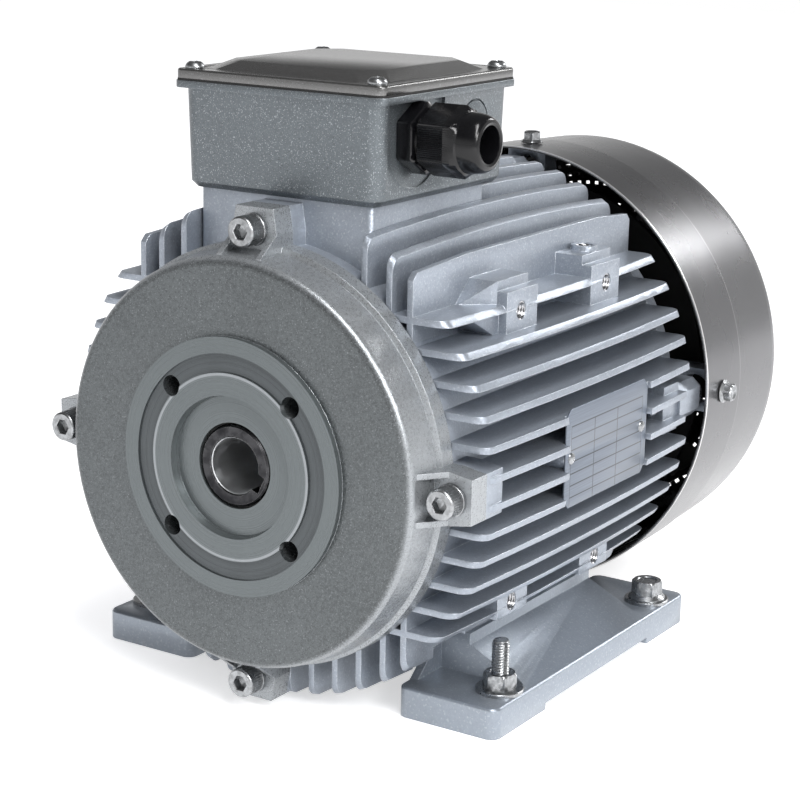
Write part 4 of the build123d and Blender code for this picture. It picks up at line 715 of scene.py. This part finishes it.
@dataclass(frozen=True)
class MouldedPlastic(Finish):
    """Black moulded nylon, plastic or rubber.

    Attributes:
        colour: Colour of the material.
        roughness: Roughness of the skin.
        sheen: Strength of its reflections.
    """

    colour: Colour
    roughness: float
    sheen: float

    def make(self, effects: Effects) -> bpy.types.Material:
        """Builds the material."""
        material, canvas = self.start()
        where = canvas.where()
        fine = canvas.noise(where, 2200.0, 3.0)
        cloud = canvas.noise(where, 120.0, 3.0)
        colour = canvas.mix(cloud, self.colour, tuple(1.8 * part + 0.002 for part in self.colour))
        rough = canvas.plus(self.roughness, canvas.times(cloud, 0.12))
        self.close(canvas, colour, rough, canvas.bump(fine, 0.00002), Specular_IOR_Level=self.sheen)
        return material


@dataclass(frozen=True)
class RatingPlate(Finish):
    """Brushed plate with an empty ruled form printed in black.

    Attributes:
        metal: Colour of the plate.
        ink: Colour of the lines.
        centre: Middle of the plate along Y and Z.
        size: Length and height of the plate.
        margin: Share of its length that stays empty at each end.
        columns: Shares of its length at which columns part.
        foot: Share of its height under the lowest line.
        field: Share of its height that the rows take.
        rows: Number of rows.
        line: Half width of a line, with its soft edge and without.
    """

    metal: Colour = (0.165, 0.188, 0.225)
    ink: Colour = (0.02, 0.02, 0.022)
    centre: tuple[float, float] = (-0.005, 0.112)
    size: tuple[float, float] = (0.076, 0.044)
    margin: float = 0.06
    columns: tuple[float, ...] = (0.34, 0.62)
    foot: float = 0.10
    field: float = 0.72
    rows: int = 6
    line: tuple[float, float] = (0.00034, 0.00020)

    def make(self, effects: Effects) -> bpy.types.Material:
        """Builds the material."""
        material, canvas = self.start()
        where = canvas.where()
        length, height = self.size
        parts = canvas.split(where)
        across = canvas.minus(parts["Y"], self.centre[0] - length / 2)
        up = canvas.minus(parts["Z"], self.centre[1] - height / 2)
        base = height * self.foot
        top = base + height * self.field
        drawn = 0.0
        for row in range(self.rows + 1):
            drawn = canvas.most(drawn, self._stroke(canvas, up, base + row * (top - base) / self.rows))
        below_top = canvas.ramp(up, top + 0.0002, top)
        for share in (self.margin, *self.columns, 1 - self.margin):
            drawn = canvas.most(drawn, canvas.times(self._stroke(canvas, across, length * share), below_top))
        span = canvas.times(canvas.above(across, length * self.margin),
                            canvas.above(length * (1 - self.margin), across))
        ink = canvas.times(canvas.times(drawn, span), 0.9)
        stretch = canvas.add("ShaderNodeMapping", {"Vector": where, "Scale": (1.0, 30.0, 1800.0)}).outputs[0]
        brush = canvas.noise(stretch, 1.0, 3.0, 0.5)
        metal = canvas.scaled(self.metal, canvas.ramp(brush, 0.3, 0.7, 0.86, 1.1))
        self.close(canvas, canvas.mix(ink, metal, self.ink), canvas.ramp(brush, 0.3, 0.7, 0.34, 0.46),
                   canvas.bump(brush, 0.00001), Metallic=canvas.ramp(ink, 0.0, 1.0, 0.55, 0.0))
        return material

    def _stroke(self, canvas: Canvas, value: object, at: float) -> object:
        """Masks one ruled line."""
        return canvas.ramp(canvas.maths("ABSOLUTE", canvas.minus(value, at)), *self.line)


@dataclass(frozen=True)
class WoundCopper(Finish):
    """Varnished copper winding, with strands that follow the ring."""

    colour: Colour = (0.42, 0.16, 0.06)
    strands: float = 1100.0

    def make(self, effects: Effects) -> bpy.types.Material:
        """Builds the material."""
        material, canvas = self.start()
        radius, along = canvas.axis_distance(canvas.where())
        strands = canvas.vector(X=canvas.times(radius, self.strands), Y=canvas.times(along, self.strands))
        wave = canvas.noise(strands, 1.0, 2.0, 0.5)
        self.close(canvas, canvas.scaled(self.colour, canvas.ramp(wave, 0.3, 0.7, 0.6, 1.2)),
                   canvas.ramp(wave, 0.0, 1.0, 0.25, 0.4), canvas.bump(wave, 0.0003),
                   Metallic=0.4, Coat_Weight=0.6)
        return material


class Wardrobe:
    """Holds the motor's finishes, each built once."""

    def __init__(self) -> None:
        """Builds the shared effects and every finish."""
        effects = Effects()
        finishes = (
            CastMetal("frame_casting"),
            # The shield's casting is the frame's metal; its darker colour is painted shade on the front
            # face.
            TurnedCasting("shield_casting", colour=(0.090, 0.098, 0.101), cells=2000.0, contrast=0.85,
                          roughness=0.30, fleck=0.26),
            CastMetal("box_casting", colour=(0.118, 0.133, 0.143), cells=2200.0, contrast=0.42,
                      roughness=0.34, fleck=0.3),
            CastMetal("lid_casting", colour=(0.150, 0.149, 0.147), cells=1500.0, contrast=0.16,
                      relief=0.00003, roughness=0.24, fleck=0.1, metallic=0.85),
            CastMetal("foot_casting", colour=(0.270, 0.300, 0.340), cells=1100.0, contrast=0.16,
                      relief=0.00005, roughness=0.32, fleck=0.15),
            PlatedSteel("zinc_plating", (0.36, 0.37, 0.38), (0.24, 0.245, 0.25)),
            PlatedSteel("oiled_shaft", (0.055, 0.055, 0.058), (0.02, 0.02, 0.022), 0.22, 160.0, bore=0.012),
            PlatedSteel("ground_steel", (0.45, 0.45, 0.46), (0.32, 0.32, 0.33), 0.2),
            PlatedSteel("laminated_steel", (0.20, 0.20, 0.21), (0.12, 0.12, 0.12), 0.45),
            PlatedSteel("brass", (0.70, 0.50, 0.20), (0.5, 0.34, 0.12), 0.25),
            SheetMetal("cover_coat"),
            MouldedPlastic("gland_nylon", (0.002, 0.002, 0.0025), 0.10, 0.34),
            MouldedPlastic("fan_plastic", (0.012, 0.012, 0.012), 0.5, 0.25),
            MouldedPlastic("rubber", (0.012, 0.012, 0.012), 0.6, 0.3),
            RatingPlate("rating_plate"),
            WoundCopper("winding_copper"),
        )
        self.materials = {finish.name: finish.make(effects) for finish in finishes}

    def put(self, piece: bpy.types.Object, finish: str) -> None:
        """Gives a piece one finish in all its material slots."""
        material = self.materials[finish]
        if not piece.data.materials:
            piece.data.materials.append(material)
        for index in range(len(piece.data.materials)):
            piece.data.materials[index] = material


def box(node: str) -> tuple[Vector, Vector, Vector]:
    """Low corner, high corner and middle of a CAD node's box, in millimetres."""
    low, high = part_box(node)
    return low / MM, high / MM, (low + high) / 2 / MM


@dataclass
class Workshop:
    """Makes pieces, dresses them and seats them on their body.

    Attributes:
        wardrobe: The finishes.
        made: Names of the pieces made so far.
    """

    wardrobe: Wardrobe
    made: list[str] = field(default_factory=list)

    def piece(self, name: str, forms: Sequence[object], spot: Sequence[float], way: Way | Vector,
              finish: str, slot: str, *replaced: str) -> None:
        """Builds a piece from its forms and seats it on the housing.

        Args:
            name: Name of the piece.
            forms: Forms that add themselves to the mesh.
            spot: Where the piece's own origin lies.
            way: Where its local +Z points.
            finish: Name of the finish.
            slot: Material slot of the record; not used.
            replaced: CAD nodes that the piece stands for.
        """
        shape = bmesh.new()
        for form in forms:
            form.add_to(shape)
        axis = Vector(way.value) if isinstance(way, Way) else way
        place = Matrix.Translation(Vector(spot) * MM) @ axis.to_track_quat("Z", "Y").to_matrix().to_4x4()
        bmesh.ops.transform(shape, matrix=place, verts=shape.verts)
        bmesh.ops.recalc_face_normals(shape, faces=shape.faces)
        mesh = bpy.data.meshes.new(name)
        shape.to_mesh(mesh)
        shape.free()
        mesh.polygons.foreach_set("use_smooth", [True] * len(mesh.polygons))
        mesh.set_sharp_from_angle(angle=SMOOTH_LIMIT)
        result = bpy.data.objects.new(name, mesh)
        bpy.context.scene.collection.objects.link(result)
        self.wardrobe.put(result, finish)
        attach(result, HOUSING)
        if replaced:
            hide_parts(*replaced)
        self.made.append(name)
        LOG.info("made %s with %d faces", name, len(mesh.polygons))

    def fastener(self, node: str, forms: Sequence[object], spot: Sequence[float], way: Way | Vector = Way.UP
                 ) -> None:
        """Makes a zinc-plated piece that stands for one CAD node."""
        self.piece(f"{node}_dressed", forms, spot, way, "zinc_plating", "zinc_fasteners", node)

    def dress(self, node: bpy.types.Object, finish: str, rounding: float) -> None:
        """Gives a CAD node its finish, and edges rounded this much or even normals."""
        self.wardrobe.put(node, finish)
        node.data.polygons.foreach_set("use_smooth", [True] * len(node.data.polygons))
        node.data.set_sharp_from_angle(angle=CAST_SMOOTH_LIMIT)
        if not rounding:
            self._modify(node, "even_normals", "WEIGHTED_NORMAL", keep_sharp=True)
            return
        self._modify(node, "weld", "WELD", merge_threshold=0.002 * MM)
        self._modify(node, "flat", "DECIMATE", decimate_type="DISSOLVE", angle_limit=math.radians(0.4))
        self._modify(node, "rounding", "BEVEL", width=rounding * MM, segments=2, limit_method="ANGLE",
                     angle_limit=math.radians(35), harden_normals=True, use_clamp_overlap=True)

    def _modify(self, node: bpy.types.Object, name: str, kind: str, **settings: object) -> None:
        """Adds a modifier with these settings."""
        modifier = node.modifiers.new(name, kind)
        for key, value in settings.items():
            setattr(modifier, key, value)


@dataclass
class Fasteners:
    """Every screw, nut, stud and rivet of the motor, at the places of their CAD nodes.

    Attributes:
        head_radius: Radius of the M8 socket head.
        head_height: Height of that head.
        key: Width across flats of its recess.
        shank: Radius of an M8 rod.
        groove: Depth of a thread on it.
        washer_radius: Outer radius of a spring washer.
        washer_height: Thickness of that washer.
        slit: Angle and half width of its slit, in radians.
        small_hex: Width across flats of a cover screw.
        small_height: Height of its head.
        flange_radius: Radius of its flange.
        flange_height: Thickness of that flange.
        pan_radius: Radius of a lid screw's head.
        pan_height: Height of that head.
        nut_hex: Width across flats of an M8 nut.
        nut_height: Height of a nut.
        plain_radius: Radius of a plain washer.
        plain_height: Thickness of that washer.
        foot_top: Height of the feet's spot faces.
        stud_top: Height of the studs.
    """

    head_radius: float = 6.5
    head_height: float = 8.0
    key: float = 6.0
    shank: float = 3.95
    groove: float = 0.65
    washer_radius: float = 6.9
    washer_height: float = 2.0
    slit: tuple[float, float] = (5.1, 0.09)
    small_hex: float = 8.0
    small_height: float = 5.4
    flange_radius: float = 5.6
    flange_height: float = 1.2
    pan_radius: float = 4.2
    pan_height: float = 3.0
    nut_hex: float = 13.0
    nut_height: float = 6.8
    plain_radius: float = 10.5
    plain_height: float = 1.7
    foot_top: float = 13.8
    stud_top: float = 37.0

    def build(self, shop: Workshop) -> None:
        """Makes all the fasteners."""
        for station in STATIONS:
            self._front_screw(shop, f"front_shield_screw_{station}")
            self._rear_screw(shop, f"rear_shield_screw_{station}")
            self._cover_screw(shop, f"cover_screw_{station}")
        for row in ("front", "rear"):
            for side in ("right", "left"):
                self._lid_screw(shop, f"lid_screw_{row}_{side}")
        for side in ("right", "left"):
            self._stud(shop, side)
            self._flange_bolt(shop, f"flange_bolt_rear_{side}")
        for row in ("front", "rear"):
            self._rivet(shop, f"nameplate_rivet_{row}")

    def _rod(self, low: float, high: float) -> TurnedForm:
        """Smooth M8 rod between two heights."""
        return TurnedForm([(low, self.shank), (high, self.shank)])

    def _socket_head(self, base: float) -> TurnedForm:
        """Knurled socket head that stands on this height, with a hexagonal recess."""
        top = base + self.head_height
        floor = top - self.head_height / 2
        radius = self.head_radius
        knurl = fluted(circle(radius), 0.18, 36)
        key = hexagon(self.key)
        return TurnedForm([
            (base, radius - 0.3), (base + 0.3, knurl), (top - 1.2, knurl), (top - 0.9, radius),
            (top - 0.5, radius - 0.15), (top, radius - 0.8), (top, grown(key, 0.35)), (top - 0.3, key),
            (floor, key), (floor - 0.8, 0.6),
        ], segments=144)

    def _spring_washer(self) -> TurnedForm:
        """Spring washer under a socket head, with its ends a little apart."""
        at, half = self.slit
        high = self.washer_height

        def split(angle: float) -> float:
            return self.washer_radius - (1.1 if abs(angle - at) < half else 0.0)

        return TurnedForm([(0.0, grown(split, -0.2)), (0.2, split), (high - 0.2, split),
                           (high, grown(split, -0.2))], segments=144)

    def _front_screw(self, shop: Workshop, node: str) -> None:
        """Socket screw and spring washer in a front lug."""
        low, high, middle = box(node)
        base = low.y + self.head_height + self.washer_height
        forms = [self._socket_head(self.washer_height), self._spring_washer(), self._rod(base - high.y, 0.0)]
        shop.fastener(node, forms, (middle.x, base, middle.z), Way.DRIVE_END)

    def _rear_screw(self, shop: Workshop, node: str) -> None:
        """Socket screw in a rear lug, with its threaded tip standing through the frame's lug."""
        low, high, middle = box(node)
        base = high.y - self.head_height
        thread = RodThread(low.y - base, -10.0, self.shank, 0.6, flipped=True)
        forms = [self._socket_head(0.0), thread, self._rod(-12.0, 0.0)]
        shop.fastener(node, forms, (middle.x, base, middle.z), Way.FAN_END)

    def _cover_screw(self, shop: Workshop, node: str) -> None:
        """Hexagon screw with a flange that holds the fan cover."""
        low, high, middle = box(node)
        axis = Vector((0.0, 0.0, SHAFT_Z))
        outward = Vector((middle.x, 0.0, middle.z - SHAFT_Z)).normalized()
        reach = max(abs(outward.dot(corner - axis)) for corner in (low, high))
        seat = Vector((0.0, middle.y, SHAFT_Z)) + outward * (reach - self.small_height)
        hexa = hexagon(self.small_hex, 4.5)
        top = self.small_height
        form = TurnedForm([
            (-6.0, 2.4), (0.0, 2.4), (0.0, self.flange_radius - 0.2), (0.4, self.flange_radius),
            (self.flange_height, grown(hexa, 0.5)), (self.flange_height + 0.3, hexa), (top - 0.6, hexa),
            (top, 3.7), (top - 0.1, 3.0), (top - 0.7, 2.2),
        ])
        shop.fastener(node, [form], seat, outward)

    def _lid_screw(self, shop: Workshop, node: str) -> None:
        """Pan-head screw with a cross recess that holds the lid."""
        low, high, middle = box(node)
        base = high.z - self.pan_height
        recess = cross(2.1, 0.45)
        radius = self.pan_radius
        form = TurnedForm([
            (low.z - base, 1.95), (0.0, 1.95), (0.0, radius - 0.15), (0.5, radius), (1.3, radius * 0.95),
            (2.1, radius * 0.82), (2.7, radius * 0.62), (2.85, grown(recess, 0.15)), (2.7, recess),
            (1.4, lambda angle: 0.6 * recess(angle)),
        ], segments=96, spin=0.4)
        shop.fastener(node, [form], (middle.x, middle.y, base))

    def _nut(self, base: float, height: float, inner: float) -> TurnedForm:
        """Hexagon nut or head, chamfered above and below, open or dished in the middle."""
        rim = self.nut_hex / 2 + 0.35
        hexa = hexagon(self.nut_hex, self.nut_hex / 2 + 0.95)
        top = base + height
        return TurnedForm([(base, rim), (base + 0.7, hexa), (top - 0.7, hexa), (top, rim - 0.3),
                           (top, inner + 0.5), (top - 0.5, inner)], segments=96, spin=0.3)

    def _washer(self) -> TurnedForm:
        """Plain washer on a foot."""
        top = self.foot_top + self.plain_height
        return TurnedForm([(self.foot_top, self.plain_radius), (top - 0.3, self.plain_radius),
                           (top, self.plain_radius - 0.35)], segments=96)

    def _stud(self, shop: Workshop, side: str) -> None:
        """Threaded stud with washer and nut in a front foot hole."""
        _, _, middle = box(f"stud_front_{side}")
        seat = (middle.x, middle.y, 0.0)
        thread = RodThread(self.foot_top, self.stud_top, self.shank, self.groove)
        shop.fastener(f"stud_front_{side}", [self._rod(0.0, self.foot_top), thread], seat)
        nut = self._nut(self.foot_top + self.plain_height, self.nut_height, 3.9)
        shop.fastener(f"stud_nut_front_{side}", [self._washer(), nut], seat)

    def _flange_bolt(self, shop: Workshop, node: str) -> None:
        """Flanged bolt with a dished head in a rear foot hole."""
        _, high, middle = box(node)
        base = self.foot_top + self.plain_height
        skirt = TurnedForm([(base, 8.9), (base + 0.6, 8.9), (base + 2.2, 7.0)])
        head = self._nut(base + 1.0, high.z - base - 1.0, 4.2)
        forms = [self._rod(0.0, self.foot_top), self._washer(), skirt, head]
        shop.fastener(node, forms, (middle.x, middle.y, 0.0))

    def _rivet(self, shop: Workshop, node: str) -> None:
        """Domed rivet of the nameplate."""
        low, high, middle = box(node)
        base = high.x - 1.2
        form = TurnedForm([(low.x - base, 1.5), (0.0, 1.5), (0.0, 2.6), (0.5, 2.4), (1.0, 1.6), (1.2, 0.9),
                           (0.9, 0.6)], segments=48)
        shop.fastener(node, [form], (base, middle.y, middle.z), Way.RIGHT)


@dataclass
class TappedHoles:
    """Threads inside the tapped holes of the side bosses and eye pads.

    Attributes:
        radius: Outer radius of each thread, just inside the hole's wall.
        depth: Height of the crests.
        chamfer: How far under the mouth a thread ends.
        boss_x: How far the side bosses reach from the middle.
        boss_rise: Height of their holes over and under the shaft.
        boss_depth: Depth of those holes.
        rows: Positions of the holes along the shaft.
        eye_x: How far the eye pads' holes stand from the middle.
        eye_top: Height of the eye pads.
        eye_depth: Depth of their holes.
    """

    radius: float = 4.03
    depth: float = 0.68
    chamfer: float = 0.4
    boss_x: float = 89.0
    boss_rise: float = 64.5
    boss_depth: float = 13.8
    rows: tuple[float, float] = (-51.3, 25.1)
    eye_x: float = 77.0
    eye_top: float = 192.3
    eye_depth: float = 10.3

    def build(self, shop: Workshop) -> None:
        """Makes a thread in every hole."""
        for side, sign, way in (("right", 1, Way.RIGHT), ("left", -1, Way.LEFT)):
            for row, y in zip(("front", "rear"), self.rows):
                for level, rise in (("upper", self.boss_rise), ("lower", -self.boss_rise)):
                    mouth = (sign * self.boss_x, y, SHAFT_Z + rise)
                    self._thread(shop, f"boss_thread_{level}_{row}_{side}", mouth, way, self.boss_depth)
            mouth = (sign * self.eye_x, self.rows[1], self.eye_top)
            self._thread(shop, f"eye_pad_thread_{side}", mouth, Way.UP, self.eye_depth)

    def _thread(self, shop: Workshop, name: str, mouth: Sequence[float], way: Way, depth: float) -> None:
        """Makes one thread that ends a little below the mouth of its hole."""
        form = TappedThread(-depth, -self.chamfer, self.radius, self.depth)
        shop.piece(name, [form], mouth, way, "ground_steel", "cast_aluminium")


@dataclass
class GrilleScreen:
    """Perforated sheet behind the outer rows of the fan cover's grille.

    Attributes:
        inner: Radius at which the sheet starts.
        outer: Radius at which it ends, inside the cover.
        along: Position of its face along the shaft.
        thickness: Thickness of the sheet.
        pitch: Distance between holes, both ways.
        hole: Width of the square holes.
    """

    inner: float = 50.4
    outer: float = 97.0
    along: float = 184.0
    thickness: float = 0.6
    pitch: float = 4.6
    hole: float = 1.7

    def build(self, shop: Workshop) -> None:
        """Makes the screen."""
        seat = (0.0, self.along, SHAFT_Z)
        shop.piece("grille_screen", [self], seat, Way.FAN_END, "fan_plastic", "cover_steel")

    def add_to(self, shape: bmesh.types.BMesh) -> None:
        """Adds the sheet to a mesh, ring by ring, as a grid of bars round open squares."""
        columns = int(math.pi * (self.inner + self.outer) / self.pitch)
        step = TURN / columns
        bar = self.pitch - self.hole
        for row in range(int((self.outer - self.inner) / self.pitch)):
            low = self.inner + row * self.pitch
            wide = bar / (low + self.pitch / 2)
            for column in range(columns):
                start = step * column
                self._patch(shape, low, low + bar, start, start + step)
                self._patch(shape, low + bar, low + self.pitch, start, start + wide)

    def _patch(self, shape: bmesh.types.BMesh, low: float, high: float, start: float, end: float) -> None:
        """Adds one flat block between two radii and two angles."""
        corners = []
        for height in (0.0, self.thickness):
            for radius, angle in ((low, start), (high, start), (high, end), (low, end)):
                spot = Vector((radius * math.cos(angle), radius * math.sin(angle), height))
                corners.append(shape.verts.new(spot * MM))
        for order in ((0, 1, 2, 3), (7, 6, 5, 4), (0, 4, 5, 1), (1, 5, 6, 2), (2, 6, 7, 3), (3, 7, 4, 0)):
            shape.faces.new([corners[index] for index in order])


@dataclass
class CableGland:
    """Nylon cable gland: sealing hexagon, ribbed clamping nut with a domed nose.

    Attributes:
        across_flats: Width of both hexagons.
        corner: Radius that rounds their corners.
        ribs: Number of fine ribs round the clamping nut.
        mouth: Radius of its open mouth.
        tube: Radius of the body's bore.
        thread: Radius of its thread.
        reach: Length of the thread through the wall.
    """

    across_flats: float = 26.6
    corner: float = 15.1
    ribs: int = 108
    mouth: float = 7.6
    tube: float = 9.0
    thread: float = 11.7
    reach: float = 9.6

    def build(self, shop: Workshop) -> None:
        """Makes the gland's body and its clamping nut."""
        hexa = hexagon(self.across_flats, self.corner)
        self._body(shop, hexa)
        self._nut(shop, hexa)

    def _add(self, shop: Workshop, node: str, form: TurnedForm, base: float, middle: Vector) -> None:
        """Seats one nylon piece with its base at this X."""
        shop.piece(f"{node}_dressed", [form], (base, middle.y, middle.z), Way.RIGHT, "gland_nylon",
                   "gland_nylon", node)

    def _body(self, shop: Workshop, hexa: RadiusLaw) -> None:
        """Hexagonal body with its thread through the wall."""
        low, high, middle = box("gland_body")
        base = low.x + self.reach
        gap = box("gland_cap_nut")[0].x - base
        end = high.x - base
        form = TurnedForm([
            (-self.reach, self.tube), (-self.reach, self.thread), (0.0, self.thread),
            (0.0, grown(hexa, -0.5)), (0.5, hexa), (gap - 2.6, hexa),
            (gap - 2.0, lambda angle: min(hexa(angle) - 0.4, 13.8)),
            (gap - 1.6, 11.8), (gap + 2, 11.8), (end, 11.6), (end, self.tube), (end - 4, self.tube),
        ], segments=144, spin=math.pi / 2)
        self._add(shop, "gland_body", form, base, middle)

    def _nut(self, shop: Workshop, hexa: RadiusLaw) -> None:
        """Clamping nut: finely ribbed hexagon, smooth chamfer and a domed nose round the mouth."""
        low, high, middle = box("gland_cap_nut")
        length = high.x - low.x
        ribbed = fluted(hexa, 0.32, self.ribs)
        nose = length - 10.0
        rings = [
            (4.0, 12.0), (0.0, 12.2), (0.0, grown(hexa, -0.7)), (0.7, ribbed), (nose - 5.2, ribbed),
            (nose - 4.9, grown(hexa, 0.05)), (nose - 1.6, hexa),
            (nose + 0.2, lambda angle: min(hexa(angle), 13.6)), (nose + 0.9, 12.6),
        ]
        for step in range(1, 13):
            turn = math.radians(90 * step / 12)
            rings.append((nose + 0.9 + 9.0 * math.sin(turn), 9.3 + 3.3 * math.cos(turn) ** 0.8))
        rings += [(length, 9.0), (length - 0.4, self.mouth + 0.3), (length - 1.4, self.mouth),
                  (length - 12.0, self.mouth)]
        form = TurnedForm(rings, segments=432, spin=math.pi / 2)
        self._add(shop, "gland_cap_nut", form, low.x, middle)


@dataclass
class Castings:
    """The CAD nodes that stay as they are, each with its finish and edge rounding."""

    looks: dict[str, tuple[str, float]] = field(default_factory=lambda: {
        "motor_frame": ("frame_casting", 0.35),
        "front_end_shield": ("shield_casting", 0.0),
        "rear_end_shield": ("frame_casting", 0.4),
        "terminal_box": ("box_casting", 0.8),
        "box_lid": ("lid_casting", 0.5),
        "left_foot": ("foot_casting", 0.8),
        "right_foot": ("foot_casting", 0.8),
        "fan_cover": ("cover_coat", 0.0),
        "hollow_shaft": ("oiled_shaft", 0.0),
        "nameplate": ("rating_plate", 0.2),
        "cooling_fan": ("fan_plastic", 0.0),
        "stator_core": ("laminated_steel", 0.0),
        "rotor_core": ("laminated_steel", 0.0),
        "winding_front": ("winding_copper", 0.0),
        "winding_rear": ("winding_copper", 0.0),
        "terminal_link_1": ("brass", 0.0),
        "terminal_link_2": ("brass", 0.0),
        "terminal_link_3": ("brass", 0.0),
        "terminal_block": ("fan_plastic", 0.0),
        "gland_locknut": ("gland_nylon", 0.0),
        "gland_seal": ("rubber", 0.0),
        "lid_gasket": ("rubber", 0.0),
        "front_oil_seal": ("rubber", 0.0),
    })

    def build(self, shop: Workshop, nodes: dict[str, bpy.types.Object]) -> None:
        """Dresses every node that is still shown."""
        for name, node in nodes.items():
            finish, rounding = self.looks.get(name, ("ground_steel", 0.0))
            shop.dress(node, finish, rounding)
            LOG.info("dressed %s as %s", name, finish)


@dataclass
class Studio:
    """White sweep, soft lamps and the camera at the photograph's angle.

    Attributes:
        azimuth: Camera's direction round the motor, in degrees from the driving end.
        elevation: Height of the camera over the horizon, in degrees.
        roll: Tilt of the picture, in degrees.
        distance: From the target to the camera.
        focal_pixels: Focal length for an image of the given width.
        image_width: That width in pixels.
        sensor: Width of the sensor, in millimetres.
        target: Point that stands in the middle of the picture.
        floor_drop: How far the floor lies under the feet.
        floor_glow: Light that the floor adds for rays that see the surroundings.
        lamps: Name, spot, power, width and height of each soft box.
    """

    azimuth: float = 32.72
    elevation: float = 14.49
    roll: float = 1.13
    distance: float = 1.00997
    focal_pixels: float = 2133.6
    image_width: float = 800.0
    sensor: float = 36.0
    target: Vector = field(default_factory=lambda: Vector((-8.67, 7.82, 110.14)) * MM)
    floor_drop: float = 0.0002
    floor_glow: float = 0.55
    lamps: tuple[tuple[str, tuple[float, float, float], float, float, float], ...] = (
        ("key_box", (1.55, -0.7, 0.95), 18.0, 0.6, 0.6),
        ("arch_box", (0.70, -0.70, 1.50), 24.0, 0.3, 1.5),
        ("rear_box", (0.65, 1.50, 0.95), 10.0, 0.5, 0.5),
    )

    def build(self) -> None:
        """Makes the camera, floor, world and lamps."""
        self._camera()
        self._floor()
        self._world()
        self._lamps()
        bpy.context.scene.view_settings.view_transform = "Standard"

    def _camera(self) -> None:
        """Places the camera."""
        turn, lift, roll = (math.radians(angle) for angle in (self.azimuth, self.elevation, self.roll))
        back = Vector((math.sin(turn) * math.cos(lift), -math.cos(turn) * math.cos(lift), math.sin(lift)))
        right = Vector((math.cos(turn), math.sin(turn), 0.0))
        up = back.cross(right)
        tilted_right = right * math.cos(roll) + up * math.sin(roll)
        tilted_up = up * math.cos(roll) - right * math.sin(roll)
        data = bpy.data.cameras.new("camera")
        data.sensor_width = self.sensor
        data.lens = self.focal_pixels / self.image_width * self.sensor
        data.clip_start = 0.01
        camera = bpy.data.objects.new("camera", data)
        axes = Matrix((tilted_right, tilted_up, back)).transposed().to_4x4()
        camera.matrix_world = Matrix.Translation(self.target + back * self.distance) @ axes
        bpy.context.scene.collection.objects.link(camera)
        bpy.context.scene.camera = camera

    def _floor(self) -> None:
        """Large white floor that keeps the motor's shadow."""
        shape = bmesh.new()
        bmesh.ops.create_grid(shape, x_segments=1, y_segments=1, size=4.0)
        mesh = bpy.data.meshes.new("floor")
        shape.to_mesh(mesh)
        shape.free()
        floor = bpy.data.objects.new("floor", mesh)
        floor.location.z = -self.floor_drop
        bpy.context.scene.collection.objects.link(floor)
        material, canvas = Finish("white_sweep").start()
        shader = canvas.tree.nodes["Principled BSDF"]
        canvas.feed(shader, {"Base Color": (0.9, 0.9, 0.9), "Roughness": 0.9, "Specular IOR Level": 0.0})
        glow = canvas.add("ShaderNodeEmission", {"Color": (1.0, 1.0, 1.0), "Strength": self.floor_glow})
        rays = canvas.add("ShaderNodeLightPath").outputs
        direct = canvas.most(rays["Is Camera Ray"], rays["Is Transmission Ray"])
        seen = canvas.most(direct, rays["Is Glossy Ray"])
        both = canvas.add("ShaderNodeAddShader", {0: shader.outputs[0], 1: glow.outputs[0]})
        share = canvas.add("ShaderNodeMixShader", {0: seen, 1: shader.outputs[0], 2: both.outputs[0]})
        canvas.feed(canvas.tree.nodes["Material Output"], {"Surface": share.outputs[0]})
        mesh.materials.append(material)

    def _world(self) -> None:
        """White behind the motor and in its reflections, under a darker ceiling and soft grey light."""
        world = bpy.data.worlds.new("studio")
        bpy.context.scene.world = world
        world.use_nodes = True
        canvas = Canvas(world.node_tree)
        world.node_tree.nodes.clear()
        height = canvas.split(canvas.add("ShaderNodeTexCoord").outputs["Generated"])["Z"]
        level = canvas.ramp(height, -0.1, 0.85, 0.22, 0.60)
        sky = canvas.grey(level, canvas.times(level, 1.04))
        rays = canvas.add("ShaderNodeLightPath").outputs
        mirrored = canvas.grey(canvas.ramp(height, 0.08, 0.46, 1.0, 0.14))
        colour = canvas.mix(rays["Is Glossy Ray"], sky, mirrored)
        direct = canvas.most(rays["Is Camera Ray"], rays["Is Transmission Ray"])
        colour = canvas.mix(direct, colour, (1.0, 1.0, 1.0))
        background = canvas.add("ShaderNodeBackground", {"Color": colour, "Strength": 1.0})
        canvas.add("ShaderNodeOutputWorld", {"Surface": background.outputs[0]})

    def _lamps(self) -> None:
        """Soft boxes: a key on the right, a long strip over it and a low one behind."""
        for name, spot, power, width, height in self.lamps:
            data = bpy.data.lights.new(name, "AREA")
            data.shape = "RECTANGLE"
            data.energy = power
            data.size = width
            data.size_y = height
            lamp = bpy.data.objects.new(name, data)
            lamp.location = spot
            lamp.rotation_euler = (self.target - Vector(spot)).to_track_quat("-Z", "Y").to_euler()
            bpy.context.scene.collection.objects.link(lamp)


def main() -> None:
    """Loads the frame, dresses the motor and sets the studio."""
    logging.basicConfig(level=logging.INFO, format="%(name)s: %(message)s")
    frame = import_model()
    shop = Workshop(Wardrobe())
    Castings().build(shop, frame["nodes"])
    Fasteners().build(shop)
    TappedHoles().build(shop)
    CableGland().build(shop)
    GrilleScreen().build(shop)
    Studio().build()
    LOG.info("made %d pieces", len(shop.made))


if __name__ == "__main__":
    main()
